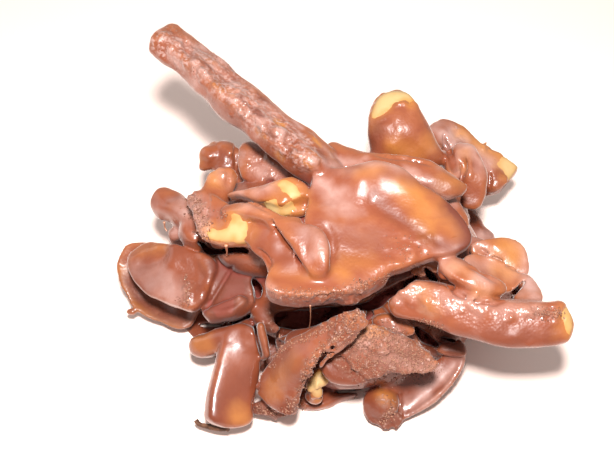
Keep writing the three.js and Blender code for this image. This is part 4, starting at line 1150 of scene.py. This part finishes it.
def part(name, points, faces):
    """A smooth mesh object, from points in millimetres."""
    mesh = bpy.data.meshes.new(name)
    mesh.from_pydata(points * MM, [], faces.tolist())
    mesh.shade_smooth()
    thing = bpy.data.objects.new(name, mesh)
    bpy.context.collection.objects.link(thing)
    return thing


def noted(thing, name, values):
    """Writes one number on each point of a piece, for its material to read."""
    attribute = thing.data.attributes.new(name, "FLOAT", "POINT")
    attribute.data.foreach_set("value", values.astype(np.float32))


def marked(thing, fields):
    """Writes the heap's fields on the points of a piece."""
    points = np.empty(3 * len(thing.data.vertices), np.float32)
    thing.data.vertices.foreach_get("co", points)
    points = points.reshape(-1, 3).astype(float) / MM
    for name in fields:
        noted(thing, name, heap.value(getattr(heap, name), points))


points, quads = joined(*surface(coat))
coat = part("haystack_coat", points, quads)
if len(quads) > COAT_FACES:
    thinner = coat.modifiers.new("thinner", "DECIMATE")
    thinner.ratio = COAT_FACES / len(quads)
    bpy.context.view_layer.objects.active = coat
    coat.select_set(True)
    bpy.ops.object.modifier_apply(modifier="thinner")
ON_COAT = "rough", "thin", "painted_sheen", "pitted", "dull_painted_shade", "calm", "streaks_and_painted_sheen", "deep", "hollow", "curl"
marked(coat, ON_COAT)


class Wire:
    """An output of a shader node that takes part in sums like a number."""

    def __init__(self, tree, socket):
        self.tree, self.socket = tree, socket

    def node(self, kind, inputs, output=0, **settings):
        """Any other node: its type, its inputs by name or number, its settings."""
        made = self.tree.nodes.new("ShaderNode" + kind)
        for name, value in settings.items():
            setattr(made, name, value)
        for name, value in inputs.items():
            if isinstance(value, Wire):
                self.tree.links.new(value.socket, made.inputs[name])
            else:
                made.inputs[name].default_value = value
        return Wire(self.tree, made.outputs[output])

    def sum(self, operation, first, second):
        """A Math node between two outputs or numbers."""
        return self.node("Math", {0: first, 1: second}, operation=operation)

    def __add__(self, other):
        return self.sum("ADD", self, other)

    def __sub__(self, other):
        return self.sum("SUBTRACT", self, other)

    def __rsub__(self, other):
        return self.sum("SUBTRACT", other, self)

    def __mul__(self, other):
        return self.sum("MULTIPLY", self, other)

    __radd__ = __add__
    __rmul__ = __mul__

    def held(self):
        """Never below 0 or above 1."""
        return self.node("Clamp", {0: self})

    def blend(self, first, second):
        """From the first colour to the second as this goes from 0 to 1."""
        return self.node("Mix", {0: self, 6: first, 7: second}, output=2, data_type="RGBA")


def surface_of(name):
    """A new material, its own node and a place to start its sums."""
    material = bpy.data.materials.new(name)
    material.use_nodes = True
    tree = material.node_tree
    shader = tree.nodes["Principled BSDF"]
    return material, shader, Wire(tree, None)


def connect(shader, inputs):
    """Links outputs to the material's own node, and sets what is the same all over on it."""
    for name, value in inputs.items():
        if isinstance(value, Wire):
            value.tree.links.new(value.socket, shader.inputs[name])
        else:
            shader.inputs[name].default_value = value


CHOCOLATE = (0.20, 0.048, 0.019, 1)
SHADE_AND_STREAK_BROWN = (0.11, 0.023, 0.010, 1)  # painted shade, low down and in folds, and the long noodle's dark streaks
PAINTED_LIGHT_BROWN = (0.262, 0.079, 0.028, 1)  # painted light, higher up and away from corners
PAINTED_RECESS_SHADE = (0.125, 0.020, 0.011, 1)  # painted shade in corners and creases
CAVE = (0.25, 0.043, 0.030, 1)  # in wide hollows, lit red by the walls around them
GLOW = (0.40, 0.15, 0.03, 1)  # over a crisp that shows through
BLOOM = (0.165, 0.072, 0.046, 1)  # dull, on the rough rims
PAINTED_SHEEN = (0.36, 0.20, 0.165, 1)  # painted sheen and highlights
material, shader, start = surface_of("milk_chocolate")
place = start.node("TexCoord", {}, output="Object")
rough, thin, painted_sheen, pitted, dull_painted_shade, calm, streaks_and_painted_sheen, deep, hollow, curl = (
    start.node("Attribute", {}, output="Fac", attribute_name=name) for name in ON_COAT)
slow = start.node("TexNoise", {"Vector": place, "Scale": 190.0, "Detail": 3.0})
cloud = start.node("TexNoise", {"Vector": place, "Scale": 620.0, "Detail": 3.0})
speck = start.node("TexNoise", {"Vector": place, "Scale": 1900.0, "Detail": 2.0})
pits = start.node("TexVoronoi", {"Vector": place, "Scale": 2300.0}, output="Distance")
along = start.node("VectorRotate", {"Vector": place, "Angle": 0.70}, output="Vector")
along = start.node("VectorMath", {0: along, 1: (0.16, 1, 1)}, output="Vector", operation="MULTIPLY")
streak = start.node("TexNoise", {"Vector": along, "Scale": 1500.0, "Detail": 2.0})
height = start.node("SeparateXYZ", {0: place}, output="Z")
# Painted shade: the coat is darker towards the bottom of the heap.
colour = (height * 35 + 0.25 + (slow - 0.5) * 1.4).held().blend(SHADE_AND_STREAK_BROWN, CHOCOLATE)
# Painted light: lighter higher up and away from corners, with random tone.
spread = (0.40 - deep) * 3.5 + (slow - 0.5) * 1.4 + (cloud - 0.5) * 1.2 + (height - 0.02) * 20
colour = spread.held().blend(colour, PAINTED_LIGHT_BROWN)
# Painted sheen and highlights where that field says.
colour = (painted_sheen * (0.5 + cloud)).held().blend(colour, PAINTED_SHEEN)
colour = (thin * (0.5 + slow)).held().blend(colour, GLOW)
# On the long noodle: a painted sheen with glinting specks, then dark streaks.
colour = (streaks_and_painted_sheen * (0.28 + (streak - 0.5) * 2.5 + (speck - 0.5) * 5.0)).held().blend(colour, PAINTED_SHEEN)
colour = (streaks_and_painted_sheen * (0.40 - streak) * 3.0).held().blend(colour, SHADE_AND_STREAK_BROWN)
# Painted shade in the folds and undersides.
colour = (dull_painted_shade * (0.5 + slow)).held().blend(colour, SHADE_AND_STREAK_BROWN)
# Painted shade in corners, creases and hollows.
colour = ((deep - 0.5) * 3.2 + (curl - 0.5) + (hollow - 0.6) * 2.0).held().blend(colour, PAINTED_RECESS_SHADE)
colour = ((hollow - 0.66) * 6.0 * (1 - dull_painted_shade)).held().blend(colour, CAVE)
colour = (rough * (0.35 + (speck - 0.5) * 3.0)).held().blend(colour, BLOOM)
# Painted glints on the grains of the rough rims.
colour = (rough * (speck - 0.60) * 8.0).held().blend(colour, PAINTED_SHEEN)
grain = start.node("Bump", {"Strength": 0.5, "Distance": 0.0003,
                            "Height": (cloud * 0.5 + speck * 0.21 + pits * 0.14) * (1 - 0.8 * calm)
                            + speck * rough + pits * pitted * 0.4 + (streak * 0.5 + speck * 1.0) * streaks_and_painted_sheen},
                   output="Normal")
shade = ((deep - 0.52) * 4.0 + (hollow - 0.56) * 4.0).held() * (1 - 0.8 * calm)
connect(shader, {"Base Color": colour,
                 "Roughness": 0.24 + 0.16 * slow + 0.4 * rough + 0.5 * shade + 0.3 * dull_painted_shade,
                 "Coat Weight": (0.35 + 0.3 * pitted - 0.6 * rough - 0.5 * shade - 0.6 * dull_painted_shade).held(),
                 "Normal": grain, "Coat Roughness": 0.09, "Specular IOR Level": 0.4,
                 "Sheen Weight": 0.18, "Sheen Roughness": 0.3})
coat.data.materials.append(material)
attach(coat, "root")
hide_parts("haystack")

# The crisps and the nut where the coat is missing: fried dough and a blanched nut, cream and
# yellow, a little below the chocolate around them.
LEAST_BARE = 60  # points; smaller specks are left out
CREAM = (0.42, 0.27, 0.115, 1)
TOAST = (0.38, 0.16, 0.035, 1)
points, quads = joined(*surface(crisp), LEAST_BARE)
crisps = part("bare_crisps", points, quads)
marked(crisps, ("ripe",))
material, shader, start = surface_of("fried_crisp")
place = start.node("TexCoord", {}, output="Object")
ripe = start.node("Attribute", {}, output="Fac", attribute_name="ripe")
cloud = start.node("TexNoise", {"Vector": place, "Scale": 420.0, "Detail": 4.0})
grain = start.node("Bump", {"Strength": 0.3, "Distance": 0.0002, "Height": cloud}, output="Normal")
connect(shader, {"Base Color": (ripe * 1.1 + (cloud - 0.5) * 1.4).held().blend(TOAST, CREAM),
                 "Roughness": 0.5, "Specular IOR Level": 0.25, "Normal": grain})
crisps.data.materials.append(material)
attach(crisps, "root")

# The grains: crumbs of crisp and set chocolate on the rough rims, the bark and the long noodle.
# They stuck to the coat while it was soft, and the middle of each lies a little above it.
DARK_GRAIN = (0.17, 0.06, 0.035, 1)
PALE_GRAIN = (0.36, 0.18, 0.11, 1)
GRAIN_SCALE = 0.75
GRAIN_PROUD = 0.3
GRAIN_UNEVEN = 0.25
ON_SURFACE = 0.15  # how near the surface a grain has to lie
CUBE = np.array([[x, y, z] for x in (-1, 1) for y in (-1, 1) for z in (-1, 1)]) * 0.6
SIDES = np.array([[0, 1, 3, 2], [4, 6, 7, 5], [0, 4, 5, 1], [2, 3, 7, 6], [0, 2, 6, 4], [1, 5, 7, 3]])


def grains(path, spread, count, sizes, seed):
    """Uneven eight-cornered grains about a path, on the surface that the front shows."""
    random = np.random.default_rng(seed)
    points, facing, _ = heap.seen(scattered(path, spread, count, seed))
    lying = np.abs(heap.value(heap.depth, points)) < ON_SURFACE
    bodies = []
    for at, away in zip(points[lying], facing[lying]):
        size = GRAIN_SCALE * random.uniform(*sizes)
        corners = random.normal(0, 1, CUBE.shape) * GRAIN_UNEVEN + CUBE
        corners /= np.linalg.norm(corners, axis=1)[:, None]
        bodies.append(at + away * size * GRAIN_PROUD + corners * size * random.uniform(0.7, 1.3, 3))
    return bodies


bodies = []
for seed, (path, spread, count, sizes) in enumerate((
    ([(-17.8, 5), (-16.6, 3), (-16, 0.5), (-16, -1.2)], 1.6, 160, (0.1, 0.26)),
    ([(-5.6, -9.2), (-2, -9.6), (2, -9.5), (6, -8.9), (10, -7.9), (13.5, -6.9)], 0.8, 420, (0.06, 0.15)),
    ([(8.4, -12.4), (6.4, -14.3), (4, -17), (1, -19.8), (-0.2, -22.4), (-1.6, -26.4)],
     1.0, 300, (0.1, 0.25)),
    ([(5.5, -17.5), (9, -16.4), (13, -16.6), (17, -19.2)], 2.6, 900, (0.07, 0.19)),
    ([(7, -20), (11, -20.5), (15, -20), (19, -20.6)], 2.8, 900, (0.07, 0.17)),
    ([(-5.8, -20), (-3.4, -17.8), (0, -16.4), (3.4, -14.6), (6.6, -12.8)], 0.7, 260, (0.07, 0.2)),
    ([(13, -1.8), (15.5, -3.2), (14.5, -4.8)], 2.6, 60, (0.08, 0.2)),
    ([(8, -7.7), (9, -8.4)], 0.8, 14, (0.12, 0.25)),
    ([(-18.6, -6.8), (-18.1, -9), (-18.2, -11.4)], 0.5, 60, (0.1, 0.22)),
    ([(-19.6, -10.3), (-19.2, -11.5)], 0.5, 14, (0.1, 0.2)),
    ([(34.5, -12.9), (36.5, -12.6), (38.5, -12.6)], 0.9, 110, (0.08, 0.2)),
    ([(16, -13.6), (18.5, -14.2), (20.5, -15.2)], 0.6, 70, (0.1, 0.22)),
    ([(12.5, -26.2), (13, -27.8), (11.5, -29.2)], 1.0, 70, (0.1, 0.25)),
    ([(15, -29), (19, -26.8), (22.5, -23), (23.8, -20.4)], 0.4, 70, (0.08, 0.18)),
    ([(-13, 3), (-12.5, 2)], 0.8, 26, (0.1, 0.2)),
    ([(-6, -20.4), (-5.2, -20.8)], 0.5, 14, (0.12, 0.26)),
    ([(-4, -18.3), (-3.2, -18.2)], 0.4, 10, (0.12, 0.22)),
    ([(-3, -26.3), (-1, -27), (1, -27.6)], 0.7, 40, (0.1, 0.25)),
    ([(-8, -26.8), (-5, -27.8), (-2, -27.2)], 0.8, 120, (0.08, 0.2)),
    ([(-23.2, 29.2), (-20, 30.2), (-16.5, 28.2), (-12, 24.6)], 1.2, 150, (0.05, 0.13)),
    ([(-21, 27), (-15, 22.6), (-8, 16.6), (1, 10)], 2.6, 160, (0.05, 0.12)),
)):
    bodies += grains(path, spread, count, sizes, 20 + seed)
faces = np.vstack([SIDES + len(CUBE) * n for n in range(len(bodies))])
crumbs = part("crumbs", np.vstack(bodies), faces)
noted(crumbs, "tone", np.repeat(np.random.default_rng(5).random(len(bodies)), len(CUBE)))
material, shader, start = surface_of("crumb")
tone = start.node("Attribute", {}, output="Fac", attribute_name="tone")
connect(shader, {"Base Color": (tone * tone).blend(DARK_GRAIN, PALE_GRAIN), "Roughness": 0.5})
crumbs.data.materials.append(material)
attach(crumbs, "root")

# The drips: threads of milk chocolate, drawn out between pieces when the spoon came away. Each
# joins two places on the coat, and the last one hangs free under the finger.
THREAD_PLACES = 24
THREAD_SIDES = 10
THREAD_BEND = [0.1, -0.2, 0]


def rope(points, radii):
    """A thin round thread through points."""
    shares = np.linspace(0, 1, THREAD_PLACES)
    line = spaced(smooth(points), shares)
    ahead = np.gradient(line, axis=0)
    ahead /= np.linalg.norm(ahead, axis=1)[:, None]
    across = np.cross(ahead, [0.3, 1, 0.2])
    across /= np.linalg.norm(across, axis=1)[:, None]
    upward = np.cross(ahead, across)
    angle = np.arange(THREAD_SIDES) / THREAD_SIDES * 2 * math.pi
    ring = across[:, None] * np.cos(angle)[:, None] + upward[:, None] * np.sin(angle)[:, None]
    points = line[:, None] + ring * between(radii, shares)[:, None, None]
    return np.vstack([points.reshape(-1, 3), line[0], line[-1]]), tube(THREAD_PLACES, THREAD_SIDES)


threads = []
for ends, radii in (
    ([(0.5, -11.4), (0.35, -14.9)], [0.12, 0.06, 0.06, 0.1]),
    ([(-12.3, -2.3), (-12.2, -3.9)], [0.25, 0.12, 0.2]),
    ([(-4.2, -15.8), (-4.4, -17.8)], [0.14, 0.08, 0.12]),
):
    points, _, _ = heap.seen(np.array(ends, float))
    if len(points) == 2:
        threads.append(rope([points[0], points.mean(0) + THREAD_BEND, points[1]], radii))
threads.append(rope([level(-21.7, 1.2, 14), level(-21.6, 0.4, 12.8), level(-21.3, -0.2, 12.4)],
                    [0.2, 0.12, 0.1]))
points = np.vstack([points for points, _ in threads])
starts = np.cumsum([0] + [len(points) for points, _ in threads])
faces = np.vstack([faces + first for (_, faces), first in zip(threads, starts)])
drips = part("drips", points, faces)
# The drips are coloured with the coat's painted shade all over.
noted(drips, "dull_painted_shade", np.full(len(points), 1.0))
noted(drips, "deep", np.full(len(points), 0.45))
drips.data.materials.append(bpy.data.materials["milk_chocolate"])
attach(drips, "root")

# The hook: a thin bent sliver of crisp, fried darker than the rest and without any coat. Its
# thick end is set in the chocolate at the foot of the front leaf.
BURNT = (0.05, 0.02, 0.010, 1)
DARK_CRISP = (0.20, 0.09, 0.05, 1)
points, faces = rope([level(-12, -29.9, 3.8), level(-13.8, -30, 3.2), level(-15.4, -29.8, 2.8),
                      level(-16.4, -29.5, 2.7), level(-16.9, -28.9, 3)], [0.7, 0.6, 0.45, 0.32, 0.36])
hook = part("hook", points, faces)
material, shader, start = surface_of("dark_crisp")
place = start.node("TexCoord", {}, output="Object")
cloud = start.node("TexNoise", {"Vector": place, "Scale": 900.0, "Detail": 3.0})
connect(shader, {"Base Color": ((cloud - 0.4) * 3.0).held().blend(BURNT, DARK_CRISP),
                 "Roughness": 0.6, "Specular IOR Level": 0.2})
hook.data.materials.append(material)
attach(hook, "root")

# The pale table it stands on, under even studio light from all round. A small hard lamp stands
# high in front and makes the highlights, and a wide soft one at the left lights the coat's slopes.
TABLE_SIZE = 3.0
TABLE_COLOUR = (0.90, 0.70, 0.62, 1)
TABLE_ROUGHNESS = 0.6
ROOM_COLOUR = (1, 1, 1, 1)
ROOM_LIGHT = 0.5
FLASH_SIZE = 0.016
FLASH_POWER = 0.62
FLASH_AWAY = 0.16
FLASH_RISE = math.radians(67.5)
WINDOW_SIZE = 0.25
WINDOW_POWER = 0.25
WINDOW_AT = (-0.33, 0.12, 0.16)
bpy.ops.mesh.primitive_plane_add(size=TABLE_SIZE, location=(0, 0, 0))
floor = bpy.context.object
floor.name = "floor"
white, shader, _ = surface_of("white_floor")
connect(shader, {"Base Color": TABLE_COLOUR, "Roughness": TABLE_ROUGHNESS})
floor.data.materials.append(white)

world = bpy.data.worlds.new("studio")
bpy.context.scene.world = world
world.use_nodes = True
world.node_tree.nodes["Background"].inputs["Color"].default_value = ROOM_COLOUR
world.node_tree.nodes["Background"].inputs["Strength"].default_value = ROOM_LIGHT


def aimed(name, data, place):
    """A lamp or camera at a place, turned towards the middle of the heap."""
    thing = bpy.data.objects.new(name, data)
    thing.location = place
    thing.rotation_euler = (middle - thing.location).to_track_quat("-Z", "Y").to_euler()
    bpy.context.collection.objects.link(thing)
    return thing


middle = Vector(MIDDLE) * MM
flash = aimed("flash", bpy.data.lights.new("flash", "AREA"),
              middle + FLASH_AWAY * Vector((0, -math.cos(FLASH_RISE), math.sin(FLASH_RISE))))
flash.data.size = FLASH_SIZE
flash.data.energy = FLASH_POWER
window = aimed("window", bpy.data.lights.new("window", "AREA"), WINDOW_AT)
window.data.size = WINDOW_SIZE
window.data.energy = WINDOW_POWER

# The camera: at the picture's own height and side, with a lens that frames the heap as it does.
# Its colours are shown plainly, as a small camera would.
LENS = 54
SENSOR = 36
NEAREST = 0.01
camera = aimed("camera", bpy.data.cameras.new("camera"), Vector(EYE) * MM)
camera.data.lens = LENS
camera.data.sensor_width = SENSOR
camera.data.clip_start = NEAREST
bpy.context.scene.camera = camera
bpy.context.scene.view_settings.view_transform = "Standard"
